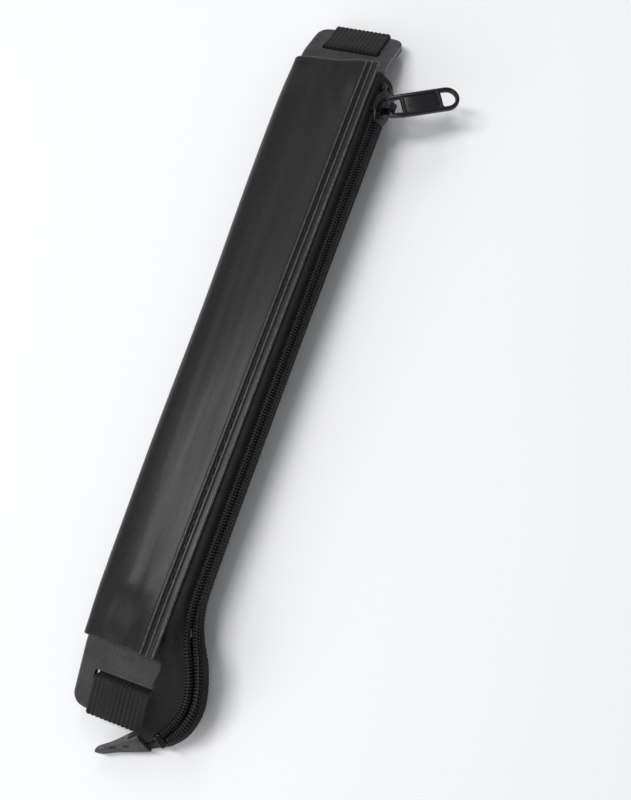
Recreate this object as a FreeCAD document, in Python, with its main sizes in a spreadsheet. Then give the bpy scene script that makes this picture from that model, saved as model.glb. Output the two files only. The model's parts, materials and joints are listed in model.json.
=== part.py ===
import FreeCAD, Part
import math
import os
import re

import Sketcher

# Slim zipped fountain pen case on an elastic band. Millimetres, +Z up, +Y towards the
# closed end of the zipper. The origin is the middle of the band's underside.
V = FreeCAD.Vector
ACROSS = V(0, -1, 0)
doc = FreeCAD.newDocument("fountain_pen_case")
sizes = doc.addObject("Spreadsheet::Sheet", "sizes")
SIZES = {
    # elastic band
    "band_width": 20.0,
    "band_thick": 1.2,
    "band_clear": 0.1,
    "band_round": 1.0,
    "cover_gap": 8.0,
    "splice_length": 14.0,
    # back plate: two leather skins over a stiffener
    "plate_width": 32.0,
    "skin_thick": 0.8,
    "stiff_thick": 0.5,
    "stiff_inset": 1.5,
    "plate_corner": 4.5,
    "top_tab": 20.0,
    "bottom_tab": 22.0,
    "top_tab_angle": 28.0,
    "bottom_tab_angle": 15.0,
    "tab_bend": 12.0,
    "slot_width": 3.7,
    "slot_play": 0.6,
    "end_bar": 9.5,
    # front panel
    "panel_length": 207.0,
    "panel_thick": 1.0,
    "panel_height": 9.4,
    "panel_lean": 1.5,
    "edge_inset": 2.9,
    "edge_drop": 0.9,
    "edge_seam": 3.2,
    "hem_tuck": 6.0,
    "hem_depth": 5.0,
    "hem_height": 5.4,
    "hem_taper": 20.0,
    "lining_thick": 0.3,
    "skin_gap": 0.05,
    # zipper
    "tape_thick": 0.4,
    "tape_width": 13.0,
    "tape_tuck": 6.5,
    "tape_margin": 3.5,
    "tape_fold": 1.2,
    "tape_lift": 1.6,
    "coil_width": 2.1,
    "coil_height": 1.8,
    "coil_gap": 1.0,
    "coil_seat": 0.12,
    "coil_cord": 0.5,
    "chain_out": 2.0,
    "chain_height": 4.6,
    "chain_lean": 1.2,
    "chain_roll": 60.0,
    "chain_straight": 80.0,
    "stop_length": 2.4,
    "tab_room": 0.5,
    # slider and pull
    "slider_length": 11.5,
    "slider_width": 7.2,
    "slider_place": 88.5,
    "slider_wall": 0.9,
    "slider_room": 0.3,
    "divider": 0.4,
    "divider_length": 3.0,
    "bail_length": 2.4,
    "bail_wall": 0.9,
    "bail_foot": 0.3,
    "pull_bar": 1.3,
    "pull_play": 0.1,
    "pull_slack": 0.75,
    "pull_length": 24.5,
    "pull_width": 8.6,
    "pull_thick": 1.5,
    "pull_face": 0.35,
    "pull_rail": 1.5,
    "pull_rim": 1.4,
    "pull_hole": 4.2,
    "pull_eye": 1.6,
    "pull_yaw": 30.0,
    "pull_drop": 15.0,
    # thread
    "stitch": 2.3,
    "stitch_pitch": 3.8,
    "thread": 0.45,
}
for row, (alias, value) in enumerate(SIZES.items(), start=1):
    sizes.set(f"A{row}", alias)
    sizes.set(f"B{row}", str(value))
    sizes.setAlias(f"B{row}", alias)
doc.recompute()


def size(expression):
    """A size from the sheet, or a sum of them."""
    value = sizes.evalExpression(expression)
    return float(getattr(value, "Value", value))


parts = {}
WORD = re.compile("[a-z_]+")

# Levels above the surface that the band lies on
REAR = "(2 * band_thick + cover_gap + band_clear)"
FACE = f"({REAR} + 2 * skin_thick + stiff_thick)"


def bound(expression):
    """The same expression, as another object of the document reads it."""
    return WORD.sub(lambda word: f"sizes.{word[0]}" if word[0] in SIZES else word[0], expression)


# ---------------------------------------------------------------- document helpers
def new_body(name):
    body = doc.addObject("PartDesign::Body", name)
    body.Label = name
    parts[name] = body
    return body


def new_sketch(body, name, plane, outlines):
    """Closed outlines of straight runs and arcs. A corner is (x, y), or (x, y, radius, side)
    where an arc of that radius leads on to the next corner, turning to that side."""
    sketch = body.newObject("Sketcher::SketchObject", name)
    origin = [f for f in body.Origin.OriginFeatures if f.Role == plane][0]
    sketch.AttachmentSupport = [(origin, "")]
    sketch.MapMode = "FlatFace"
    for corners in outlines:
        at = [V(size(c[0]), size(c[1]), 0) for c in corners]
        first = sketch.GeometryCount
        edges = []
        for number, corner in enumerate(corners):
            start, end = at[number], at[(number + 1) % len(at)]
            if len(corner) == 2:
                edges.append(Part.LineSegment(start, end))
                continue
            edges.append(arc_between(start, end, size(corner[2]), corner[3]))
        sketch.addGeometry(edges)
        ends = [ends_of(sketch, first + n, start) for n, start in enumerate(at)]
        for number in range(len(corners)):
            after = (number + 1) % len(corners)
            sketch.addConstraint(Sketcher.Constraint(
                "Coincident", first + number, ends[number][1], first + after, ends[after][0]))
        for number, corner in enumerate(corners):
            this, start = first + number, ends[number][0]
            for kind, value, words in (
                ("DistanceX", at[number].x, corner[0]),
                ("DistanceY", at[number].y, corner[1]),
            ):
                sketch.addConstraint(Sketcher.Constraint(kind, -1, 1, this, start, value))
                sketch.setExpression(f"Constraints[{sketch.ConstraintCount - 1}]", bound(words))
            if len(corner) == 2:
                continue
            chord = at[(number + 1) % len(at)] - at[number]
            if abs(chord.Length / 2 - size(corner[2])) > 1e-6:
                sketch.addConstraint(Sketcher.Constraint("Radius", this, size(corner[2])))
                words = corner[2]
            else:
                kind, axis = ("DistanceX", 0) if abs(chord.y) > abs(chord.x) else ("DistanceY", 1)
                words = f"(({corner[axis]}) + ({corners[(number + 1) % len(at)][axis]})) / 2"
                sketch.addConstraint(Sketcher.Constraint(kind, -1, 1, this, 3, size(words)))
            sketch.setExpression(f"Constraints[{sketch.ConstraintCount - 1}]", bound(words))
    return sketch


def arc_between(start, end, radius, side):
    """An arc of a circle whose centre lies to the left (1) or the right (-1) of its run."""
    chord = end - start
    reach = math.sqrt(max(radius ** 2 - (chord.Length / 2) ** 2, 0))
    centre = (start + end) / 2 + V(-chord.y, chord.x, 0).normalize() * reach * side
    first, last = (start, end) if side > 0 else (end, start)
    turns = [math.atan2(p.y - centre.y, p.x - centre.x) for p in (first, last)]
    return Part.ArcOfCircle(Part.Circle(centre, V(0, 0, 1), radius), *turns)


def ends_of(sketch, number, start):
    """Which end of an edge starts its run: an arc's own ends follow its sense of turning."""
    edge = sketch.Geometry[number]
    return (1, 2) if (edge.StartPoint - start).Length < 1e-6 else (2, 1)


def pad(body, name, sketch, length, both_ways=False):
    feature = body.newObject("PartDesign::Pad", name)
    feature.Profile = sketch
    feature.setExpression("Length", bound(length))
    feature.Midplane = both_ways
    doc.recompute()
    assert body.Shape.isValid(), f"{name} isn't valid"
    return feature


def pocket(body, name, sketch, length, both_ways=False, flip=False):
    before = body.Shape.Volume
    feature = body.newObject("PartDesign::Pocket", name)
    feature.Profile = sketch
    feature.setExpression("Length", bound(length))
    feature.Midplane = both_ways
    feature.Reversed = flip
    doc.recompute()
    assert body.Shape.Volume < before - 1e-6, f"{name} cuts nothing"
    return feature


def place(body, x="0", y="0", z="0"):
    for axis, words in zip("xyz", (x, y, z)):
        body.setExpression(f"Placement.Base.{axis}", bound(words))
    doc.recompute()


def feature(name, shape):
    """A sub-part whose outline only Part's own functions can make."""
    made = doc.addObject("Part::Feature", name)
    made.Label = name
    made.Shape = shape
    made.Placement = FreeCAD.Placement()
    parts[name] = made
    return made


# ---------------------------------------------------------------- shape helpers
def smooth(points):
    curve = Part.BSplineCurve()
    curve.interpolate(points)
    return curve.toShape()


def straight(points):
    """Straight edges from each point to the next."""
    return [Part.LineSegment(a, b).toShape() for a, b in zip(points, points[1:])]


def strip_wire(outer, inner, outer_tuck=(), inner_tuck=()):
    """The outline of a thin layer between two smooth runs of points, each of which may
    begin with a run of straight edges."""
    edges = straight([*outer_tuck, outer[0]]) + [smooth(outer)]
    edges += straight([outer[-1], inner[-1]]) + [smooth(inner[::-1])]
    edges += straight([inner[0], *inner_tuck[::-1], (*outer_tuck, outer[0])[0]])
    return Part.Wire(edges)


def beside(points, gap, normal):
    """The same run of points, moved by gap to its right as seen along the normal."""
    moved = []
    for number, point in enumerate(points):
        before = points[max(number - 1, 0)]
        after = points[min(number + 1, len(points) - 1)]
        moved.append(point + (after - before).cross(normal).normalize() * gap)
    return moved


def rounded(points, radii):
    """A closed run of straight lines through points, each corner rounded to its radius."""
    count = len(points)
    starts, ends, arcs = [], [], []
    for number, point in enumerate(points):
        into = (point - points[number - 1]).normalize()
        out = (points[(number + 1) % count] - point).normalize()
        half = into.getAngle(out) / 2
        cut = radii[number] * math.tan(half)
        bisector = (out - into).normalize()
        middle = point + bisector * (radii[number] / math.cos(half) - radii[number])
        starts.append(point - into * cut)
        ends.append(point + out * cut)
        arcs.append(Part.Arc(starts[-1], middle, ends[-1]).toShape())
    edges = []
    for number in range(count):
        edges.append(arcs[number])
        edges.append(Part.LineSegment(ends[number], starts[(number + 1) % count]).toShape())
    return Part.Wire(edges)


# ---------------------------------------------------------------- back plate
def tab_corners(level, end):
    """The run of a skin's surface from the flat plate to the end of a tab that bends down.
    level is the surface's height above the plate's rear, end is 1 for the top, -1 below."""
    tab, angle = ("top_tab", "top_tab_angle") if end > 0 else ("bottom_tab", "bottom_tab_angle")
    turn = f"({angle} * 1deg)"
    radius = f"(tab_bend + {level})"
    straight = f"({tab} - tab_bend * {angle} * pi / 180)"
    sign = "1" if end > 0 else "-1"
    bend_y = f"{sign} * (panel_length / 2 + {radius} * sin{turn})"
    bend_z = f"{REAR} - tab_bend + {radius} * cos{turn}"
    tip_y = f"{sign} * (panel_length / 2 + {radius} * sin{turn} + {straight} * cos{turn})"
    tip_z = f"{bend_z} - {straight} * sin{turn}"
    return [
        (f"{sign} * panel_length / 2", f"{REAR} + {level}", radius, -end),
        (bend_y, bend_z),
        (tip_y, tip_z),
    ]


def plate_outline(low, high):
    """The plate's side view between two heights above its rear, tip to tip."""
    upper = tab_corners(high, 1)
    lower = tab_corners(low, 1)
    upper_left = tab_corners(high, -1)
    lower_left = tab_corners(low, -1)
    radius_high = upper[0][2]
    radius_low = lower[0][2]
    return [
        upper_left[2],
        (*upper_left[1], radius_high, -1),
        (upper_left[0][0], upper_left[0][1]),
        (upper[0][0], upper[0][1], radius_high, -1),
        upper[1],
        upper[2],
        lower[2],
        (*lower[1], radius_low, 1),
        (lower[0][0], lower[0][1]),
        (lower_left[0][0], lower_left[0][1], radius_low, 1),
        lower_left[1],
        lower_left[2],
    ]


def slot_corners(end):
    """A slot across a tab, seen from above."""
    angle = "top_tab_angle" if end > 0 else "bottom_tab_angle"
    tip = tab_corners("(skin_thick + stiff_thick / 2)", end)[2][0]
    turn = f"({angle} * 1deg)"
    outer = f"{tip} - {end} * end_bar * cos{turn}"
    inner = f"{tip} - {end} * (end_bar + slot_width) * cos{turn}"
    half = "(band_width / 2 + slot_play)"
    corners = [(f"-{half}", outer), (half, outer), (half, inner), (f"-{half}", inner)]
    return corners if end < 0 else corners[::-1]


def plate_layer(name, low, thick, width, cut_slots):
    """A layer of the back plate: bent at both ends, with round corners and band slots."""
    body = new_body(name)
    side = new_sketch(body, f"{name}_side", "YZ_Plane", [plate_outline(low, f"{low} + {thick}")])
    pad(body, f"{name}_pad", side, width, both_ways=True)
    if cut_slots:
        slots = [slot_corners(1), slot_corners(-1)]
        top = new_sketch(body, f"{name}_slot_outline", "XY_Plane", slots)
        pocket(body, f"{name}_slots", top, f"4 * ({FACE})", both_ways=True)
    return body


def round_tab_corners(body, name, radius):
    """Rounds the four short edges at the tabs' outer corners."""
    box = body.Shape.BoundBox
    found = []
    for number, edge in enumerate(body.Shape.Edges, start=1):
        middle = edge.CenterOfMass
        short = edge.Length < size("skin_thick") * 1.5
        at_side = min(middle.x - box.XMin, box.XMax - middle.x) < 1e-3
        at_tip = min(middle.y - box.YMin, box.YMax - middle.y) < size("skin_thick")
        if short and at_side and at_tip:
            found.append(f"Edge{number}")
    assert len(found) == 4, f"{body.Label} has {len(found)} tab corners"
    last = body.Tip
    fillet = body.newObject("PartDesign::Fillet", name)
    fillet.Base = (last, found)
    fillet.setExpression("Radius", bound(radius))
    doc.recompute()


def make_plate():
    rear = plate_layer("rear_skin", "0 * skin_thick", "skin_thick", "plate_width", True)
    round_tab_corners(rear, "rear_skin_corners", "plate_corner")
    front = plate_layer("front_skin", "(skin_thick + stiff_thick)", "skin_thick", "plate_width", True)
    round_tab_corners(front, "front_skin_corners", "plate_corner")
    stiffener = new_body("plate_stiffener")
    half = "(panel_length / 2 - hem_depth)"
    left = "-(plate_width / 2 - stiff_inset)"
    right = "(plate_width / 2 - tape_tuck - stiff_inset)"
    outline = [(left, f"-{half}"), (right, f"-{half}"), (right, half), (left, half)]
    sketch = new_sketch(stiffener, "stiffener_outline", "XY_Plane", [outline])
    pad(stiffener, "stiffener_pad", sketch, "stiff_thick")
    place(stiffener, z=f"{REAR} + skin_thick")


# ---------------------------------------------------------------- elastic band
def tab_point(end, along, above):
    """A point on a tab: along it from where its bend starts, above the plate's rear."""
    turn = math.radians(size("top_tab_angle" if end > 0 else "bottom_tab_angle"))
    radius = size("tab_bend")
    straight = along - radius * turn
    y = size("panel_length / 2") + (radius + above) * math.sin(turn) + straight * math.cos(turn)
    z = size(REAR) - radius + (radius + above) * math.cos(turn) - straight * math.sin(turn)
    return V(0, end * y, z)


def band_end(end):
    """Corners of the band's middle line round one tab, from the inner run to the outer."""
    half = size("band_thick / 2 + band_clear")
    plate = size("2 * skin_thick + stiff_thick")
    length = size("top_tab" if end > 0 else "bottom_tab")
    slot = length - size("end_bar + slot_width / 2")
    turn = math.radians(size("top_tab_angle" if end > 0 else "bottom_tab_angle"))
    under = size("tab_bend") - half
    kink = V(0, end * (size("panel_length / 2") + under * math.tan(turn / 2)), size(REAR) - half)
    tip = tab_point(end, length + half, plate + half)
    turn_round = size("band_round")
    return [
        (kink, under),
        (tab_point(end, slot, -half), turn_round),
        (tab_point(end, slot, plate + half), turn_round),
        (tip, 0.7 * turn_round),
        (V(0, tip.y - end * 0.6, size("band_thick / 2")), 1.6 * turn_round),
    ]


def make_band():
    corners = band_end(1) + band_end(-1)[::-1]
    path = rounded([c[0] for c in corners], [c[1] for c in corners])
    outer = Part.Face(path.makeOffset2D(size("band_thick / 2")))
    inner = Part.Face(path.makeOffset2D(-size("band_thick / 2")))
    if outer.Area < inner.Area:
        outer, inner = inner, outer
    ring = outer.cut(inner)
    ring.translate(V(-size("band_width / 2"), 0, 0))
    return feature("elastic_band", ring.extrude(V(size("band_width"), 0, 0)).Solids[0])


# ---------------------------------------------------------------- pouch
def lean(alias, y):
    return math.tan(math.radians(size(alias))) * y


def panel_section(y):
    """The outside of the front panel across the case, from the plate's left edge over the
    pouch to its free edge beside the zipper."""
    face = size(FACE)
    left = -size("plate_width / 2 + panel_thick + skin_gap")
    edge = size("plate_width / 2 - edge_inset") + lean("panel_lean", y)
    taper = min((size("panel_length / 2") - abs(y)) / size("hem_taper"), 1)
    crest = size("hem_height") + size("panel_height - hem_height") * taper
    high = size("panel_height")
    points = [V(left, y, face)]
    for along, share in ((0.5, 0.45), (3.2, 0.76), (8.5, 0.93), (16.0, 1.0)):
        points.append(V(left + along, y, face + share * crest))
    points.append(V(edge - size("tape_tuck"), y, face + (crest + 2 * high) / 3))
    points.append(V(edge, y, face + high - size("edge_drop")))
    return smooth(points).discretize(Number=25)


def panel_outer(y):
    """The same, anywhere along the case: straight lines join the panel's own sections."""
    stations = panel_stations()
    number = min(sum(1 for station in stations[1:-1] if station > y), len(stations) - 2)
    near, far = stations[number], stations[number + 1]
    share = (near - y) / (near - far)
    pairs = zip(panel_section(near), panel_section(far))
    return [a + (b - a) * share for a, b in pairs]


def panel_inner(y, gap=0.0):
    return beside(panel_outer(y), size("panel_thick") + gap, ACROSS)


def panel_wire(y):
    """The panel's whole section, with its tuck under the plate's left edge."""
    outer, inner = panel_outer(y), panel_inner(y)
    near, far = size(f"{REAR} - skin_gap"), size(f"{REAR} - skin_gap - panel_thick")
    left, thick = outer[0].x, size("panel_thick")
    end = left + size("hem_tuck")
    inner[0] = V(left + thick, y, outer[0].z)
    outer_tuck = [V(end, y, far), V(left + 0.8 * thick, y, far), V(left, y, far + 0.8 * thick)]
    return strip_wire(outer, inner, outer_tuck, [V(end, y, near), V(left + thick, y, near)])


def loft(name, wires):
    solid = Part.makeLoft(wires, True, True)
    if solid.Volume < 0:
        solid.reverse()
    assert solid.isValid(), f"{name} isn't valid"
    return solid


def panel_stations(shorter=0.0):
    """Where the pouch's sections change along the case, less a length at each end."""
    half = size("panel_length / 2")
    taper = half - size("hem_taper")
    return [half - shorter, taper, -taper, shorter - half]


def make_panel():
    feature("front_panel", loft("front_panel", [panel_wire(y) for y in panel_stations()]))


def make_lining():
    """The thin cloth behind the panel, from the left wall to the zipper tape."""
    gap, thick = size("skin_gap"), size("lining_thick")
    wires = []
    for y in panel_stations(size("hem_depth + 0.5")):
        outer = panel_inner(y, 4 * gap)[2:16]
        wires.append(polygon(outer + beside(outer, thick, ACROSS)[::-1]))
    feature("pocket_lining", loft("pocket_lining", wires))


def make_hem(name, end):
    """The panel's end, folded under and sewn to the plate, which closes the pouch."""
    floor = size(f"{FACE} + skin_gap")
    wires = []
    for shorter in (0, size("hem_depth")):
        y = end * (size("panel_length / 2") - shorter)
        over = panel_inner(y, size("4 * skin_gap"))[1:14]
        wires.append(polygon([V(over[0].x, y, floor)] + over + [V(over[-1].x, y, floor)]))
    feature(name, loft(name, wires))


# ---------------------------------------------------------------- zipper
# The free end of the zipper, from where its straight stretch stops: how far each place lies
# outwards, along and above it, the roll of the chain there, and how wide the tape spreads.
FREE_END = [
    (0.6, -8.0, -0.3, 50.0, 0.0),
    (2.0, -14.0, -1.0, 32.0, 0.0),
    (4.5, -20.5, -1.9, 6.0, 10.2),
    (6.9, -27.0, -2.4, 4.0, 12.6),
    (7.7, -33.5, -3.3, 4.0, 13.0),
    (5.9, -39.5, -4.8, 12.0, 12.6),
    (2.1, -44.8, -7.3, 36.0, 11.4),
    (-1.9, -48.4, -9.6, 60.0, 10.4),
    (-6.9, -51.5, -10.4, 66.0, 9.6),
]
TAB_TIP = (-18.1, -57.5, -12.1, 70.0, 6.0)


class Station:
    """A place on the chain: its middle, and the directions across it and out of its face."""

    def __init__(self, middle, along, roll, spread=0.0):
        flat = V(along.y, -along.x, 0).normalize() * -1
        turn = math.radians(roll)
        self.middle, self.along, self.spread = middle, along, spread
        self.across = flat * math.cos(turn) - V(0, 0, 1) * math.sin(turn)
        self.out = flat * math.sin(turn) + V(0, 0, 1) * math.cos(turn)

    def at(self, across, out, ahead=0.0):
        return self.middle + self.across * across + self.out * out + self.along * ahead


def chain_at(y):
    out = size("plate_width / 2 + chain_out") + lean("chain_lean", y)
    return V(out, y, size(f"{FACE} + chain_height"))


def straight_station(y):
    return Station(chain_at(y), V(0, -1, 0), size("chain_roll"))


def free_stations(with_tip=False):
    start = chain_at(-size("chain_straight"))
    places = FREE_END + ([TAB_TIP] if with_tip else [])
    points = [start] + [start + V(*place[:3]) for place in places]
    found = []
    for number, place in enumerate(places, start=1):
        after = points[min(number + 1, len(points) - 1)]
        along = after - points[number - 1]
        along = V(0, -1, 0) if not place[4] else V(along.x, along.y, 0).normalize()
        found.append(Station(points[number], along, place[3], place[4]))
    return found


def chain_stations(top):
    places = (top, size("panel_length / 2 - hem_taper"), -size("chain_straight"))
    return [straight_station(y) for y in places] + free_stations()


def polygon(points):
    return Part.makePolygon(points + [points[0]])


def layer(points, thick, normal):
    """The outline of a thin layer of straight runs, half of its thickness to each side."""
    return polygon(beside(points, -thick / 2, normal) + beside(points, thick / 2, normal)[::-1])


TAPE_SEAT = "(coil_height / 2 + tape_thick / 2 + coil_seat)"


def front_tape_points(station):
    """The half of the tape that is sewn under the panel's edge, from there to the chain."""
    seat = -size(TAPE_SEAT)
    channel = -size("slider_width / 2 + slider_room")
    near = [station.at(channel, seat), station.at(-size("coil_gap / 2"), seat)]
    if station.spread:
        return [station.at(-station.spread * part, seat) for part in (1, 0.7, 0.5)] + near
    y = station.middle.y
    inner = panel_inner(y, size("tape_thick / 2 + 3 * skin_gap"))
    edge, under = inner[-1], inner[-2]
    brow = edge + (near[0] - edge) * 0.6 + V(0, 0, 0.35)
    return [under, edge, brow] + near


def back_tape_points(station, lift):
    """The half of the tape that is sewn between the plate's skins, from the chain to there.
    Where it is no longer sewn in, lift is its height over the sewn level."""
    seat = -size(TAPE_SEAT)
    channel = size("slider_width / 2 + slider_room")
    if station.spread:
        fold = size("coil_gap + coil_width") + 0.6
        below = seat - size("tape_fold")
        return [
            station.at(size("coil_gap / 2"), seat),
            station.at(fold, seat),
            station.at(fold + 0.5, (seat + below) / 2),
            station.at(fold, below),
            station.at(0, below),
            station.at(0.6 - station.spread, below),
        ]
    near = [station.at(size("coil_gap / 2"), seat), station.at(channel, seat)]
    y = near[-1].y
    level = size(f"{REAR} + skin_thick + stiff_thick / 2")
    side = size("plate_width / 2 + 0.6")
    if lift is not None:
        level += lift
        return near + [
            V(near[-1].x + 0.3, y, near[-1].z - 0.9),
            V(side + 1.4, y, level),
            V(side + 0.9, y, level),
            V(side + 0.4, y, level),
        ]
    return near + [
        V(near[-1].x + 0.3, y, near[-1].z - 0.9),
        V(side + 0.8, y, level),
        V(side - 0.4, y, level),
        V(size("plate_width / 2 - tape_tuck"), y, level),
    ]


def make_tapes():
    """Both halves of the zipper's tape, sewn in along the straight and free beyond it."""
    thick = size("tape_thick")
    stations = chain_stations(size("panel_length / 2 - tape_margin"))
    fronts = [layer(front_tape_points(s), thick, s.along) for s in stations]
    feature("zipper_tape_front", loft("zipper_tape_front", fronts))
    lifts = [None] * (len(stations) - len(FREE_END)) + [0] + [size("tape_lift")] * len(FREE_END)
    backs = [layer(back_tape_points(s, up), thick, s.along) for s, up in zip(stations, lifts)]
    feature("zipper_tape_back", loft("zipper_tape_back", backs))


def coil_outline(station, side):
    """One side of the chain, seen along it: flat on the tape, round on its outer side."""
    near, far = size("coil_gap / 2"), size("coil_gap / 2 + coil_width")
    low, high = -size("coil_height / 2"), size("coil_height / 2")
    cut = 0.28 * (high - low)
    corners = [(near, low), (far, low), (far, high - cut), (far - cut, high), (near, high)]
    return polygon([station.at(side * a, b) for a, b in corners])


def cord_outline(station, side, radius):
    middle = side * size("coil_gap / 2 + coil_width / 2")
    corners = [(-radius, -radius), (radius, -radius), (radius, radius), (-radius, radius)]
    return polygon([station.at(middle + a, b) for a, b in corners])


def coil_stations():
    top = size("slider_place + slider_length / 2 - divider_length - slider_room")
    return chain_stations(top)[:-2]


def make_coils():
    """The two coils of the closed chain, each round its cord."""
    for side, name in ((-1, "front"), (1, "back")):
        stations = coil_stations()
        radius = size("coil_cord / 2")
        room = size("coil_cord / 2 + 2 * skin_gap")
        body = loft(name, [coil_outline(s, side) for s in stations])
        core = loft(name, [cord_outline(s, side, room) for s in stations])
        feature(f"coil_{name}", body.cut(core).Solids[0])
        cord = loft(name, [cord_outline(s, side, radius) for s in stations])
        feature(f"coil_cord_{name}", cord)


def block(station, ahead, across, out):
    """A small block on the chain, between pairs of distances ahead, across and out."""
    wires = []
    for distance in ahead:
        corners = [(0, 0), (1, 0), (1, 1), (0, 1)]
        wires.append(polygon([station.at(across[a], out[b], distance) for a, b in corners]))
    return loft("block", wires)


def make_stops():
    half, reach = size("coil_height / 2"), size("coil_gap / 2 + coil_width")
    station = straight_station(size("slider_place + slider_length / 2 + slider_room"))
    length = size("stop_length")
    near = size("coil_gap / 2")
    for side, name in ((-1, "front"), (1, "back")):
        across = sorted((side * near, side * reach))
        feature(f"top_stop_{name}", block(station, (-length, 0), across, (-half, half)))
    last = coil_stations()[-1]
    gap = size("slider_room")
    feature("bottom_stop", block(last, (gap, gap + length), (-reach, reach), (-half, half)))


def make_end_tab():
    """The leather tab folded over the tapes' ends."""
    start, inside, tip = free_stations(with_tip=True)[-3:]
    wall = size("skin_thick")
    mid = -size(f"{TAPE_SEAT} + tape_fold / 2")
    room = size("tape_fold / 2 + tape_thick / 2 + tab_room")
    ahead = size("stop_length") * 1.6
    beyond = size("coil_gap + coil_width") + 1.3

    def leaf(station, grow, thick, step):
        points = [
            station.at(-station.spread - grow, mid - thick, step),
            station.at(beyond + grow, mid - thick, step),
            station.at(beyond + grow, mid + thick, step),
            station.at(-station.spread - grow, mid + thick, step),
        ]
        return polygon(points)

    outer = loft("end_tab", [
        leaf(start, wall, room + wall, ahead),
        leaf(inside, wall, room + wall, 0),
        leaf(tip, -0.5, wall, 0),
    ])
    hollow = loft("end_tab", [leaf(start, 0.2, room, ahead - 1), leaf(inside, 0.2, room, 0.2)])
    feature("end_tab", outer.cut(hollow).Solids[0])


# ---------------------------------------------------------------- slider and pull
def slider_placement():
    middle = chain_at(size("slider_place"))
    turn = FreeCAD.Rotation(V(0, 0, 1), -size("chain_lean"))
    roll = FreeCAD.Rotation(V(0, 1, 0), size("chain_roll"))
    return FreeCAD.Placement(middle, turn * roll)


def rectangle(left, right, low, high):
    return [(left, low), (right, low), (right, high), (left, high)]


def make_slider():
    """The slider: two plates joined by a thin divider between the coils."""
    body = new_body("slider_body")
    room = "(coil_height / 2 + tape_thick + slider_room)"
    over = "(coil_height / 2 + slider_room)"
    half = "slider_width / 2"
    nose = "slider_length / 2"
    post = rectangle("-divider / 2", "divider / 2", f"{nose} - divider_length", nose)
    sketch = new_sketch(body, "divider_outline", "XY_Plane", [post])
    pad(body, "divider_pad", sketch, f"2 * {room} + slider_wall", both_ways=True)
    inner = rectangle(f"-{half}", half, f"-{room} - slider_wall", f"-{room}")
    sketch = new_sketch(body, "inner_plate_outline", "XZ_Plane", [inner])
    pad(body, "inner_plate_pad", sketch, "slider_length", both_ways=True)
    flange = "(slider_width / 2 - slider_wall * 0.7)"
    low = "(slider_room - coil_height / 2)"
    outline = [
        (f"-{half}", low),
        (f"-{flange}", low),
        (f"-{flange}", over),
        (flange, over),
        (flange, low),
        (half, low),
        (half, f"{over} + slider_wall"),
        (f"-{half}", f"{over} + slider_wall"),
    ]
    sketch = new_sketch(body, "outer_plate_outline", "XZ_Plane", [outline])
    pad(body, "outer_plate_pad", sketch, "slider_length", both_ways=True)
    corners = []
    for side in ("-", ""):
        corners.append([
            (f"{side}({half} + 0.1)", f"-{nose} - 0.1"),
            (f"{side}({half} - 1.5)", f"-{nose} - 0.1"),
            (f"{side}({half} + 0.1)", f"-{nose} + 4.5"),
        ])
    sketch = new_sketch(body, "tail_outline", "XY_Plane", corners)
    pocket(body, "tail_cut", sketch, "4 * slider_width", both_ways=True)
    body.Placement = slider_placement()

    bail = new_body("slider_bail")
    foot = f"({over} + slider_wall + skin_gap)"
    window = "(pull_bar / 2 + pull_slack + pull_play)"
    tall = "(pull_bar / 2 + pull_slack * 1.6 + pull_play)"
    middle = f"({foot} + bail_foot + {tall})"
    wide = f"({window} + bail_wall)"
    top = f"({middle} + {tall} - {window})"
    arch = [(f"-{wide}", foot), (wide, foot), (wide, top, wide, 1), (f"-{wide}", top)]
    low_end = f"({middle} - {tall} + {window})"
    hole = [
        (f"-{window}", low_end, window, 1),
        (window, low_end),
        (window, top, window, 1),
        (f"-{window}", top),
    ]
    sketch = new_sketch(bail, "bail_outline", "XZ_Plane", [arch, hole])
    pad(bail, "bail_pad", sketch, "bail_length", both_ways=True)
    bail.Placement = slider_placement()
    return size(middle)


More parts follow.
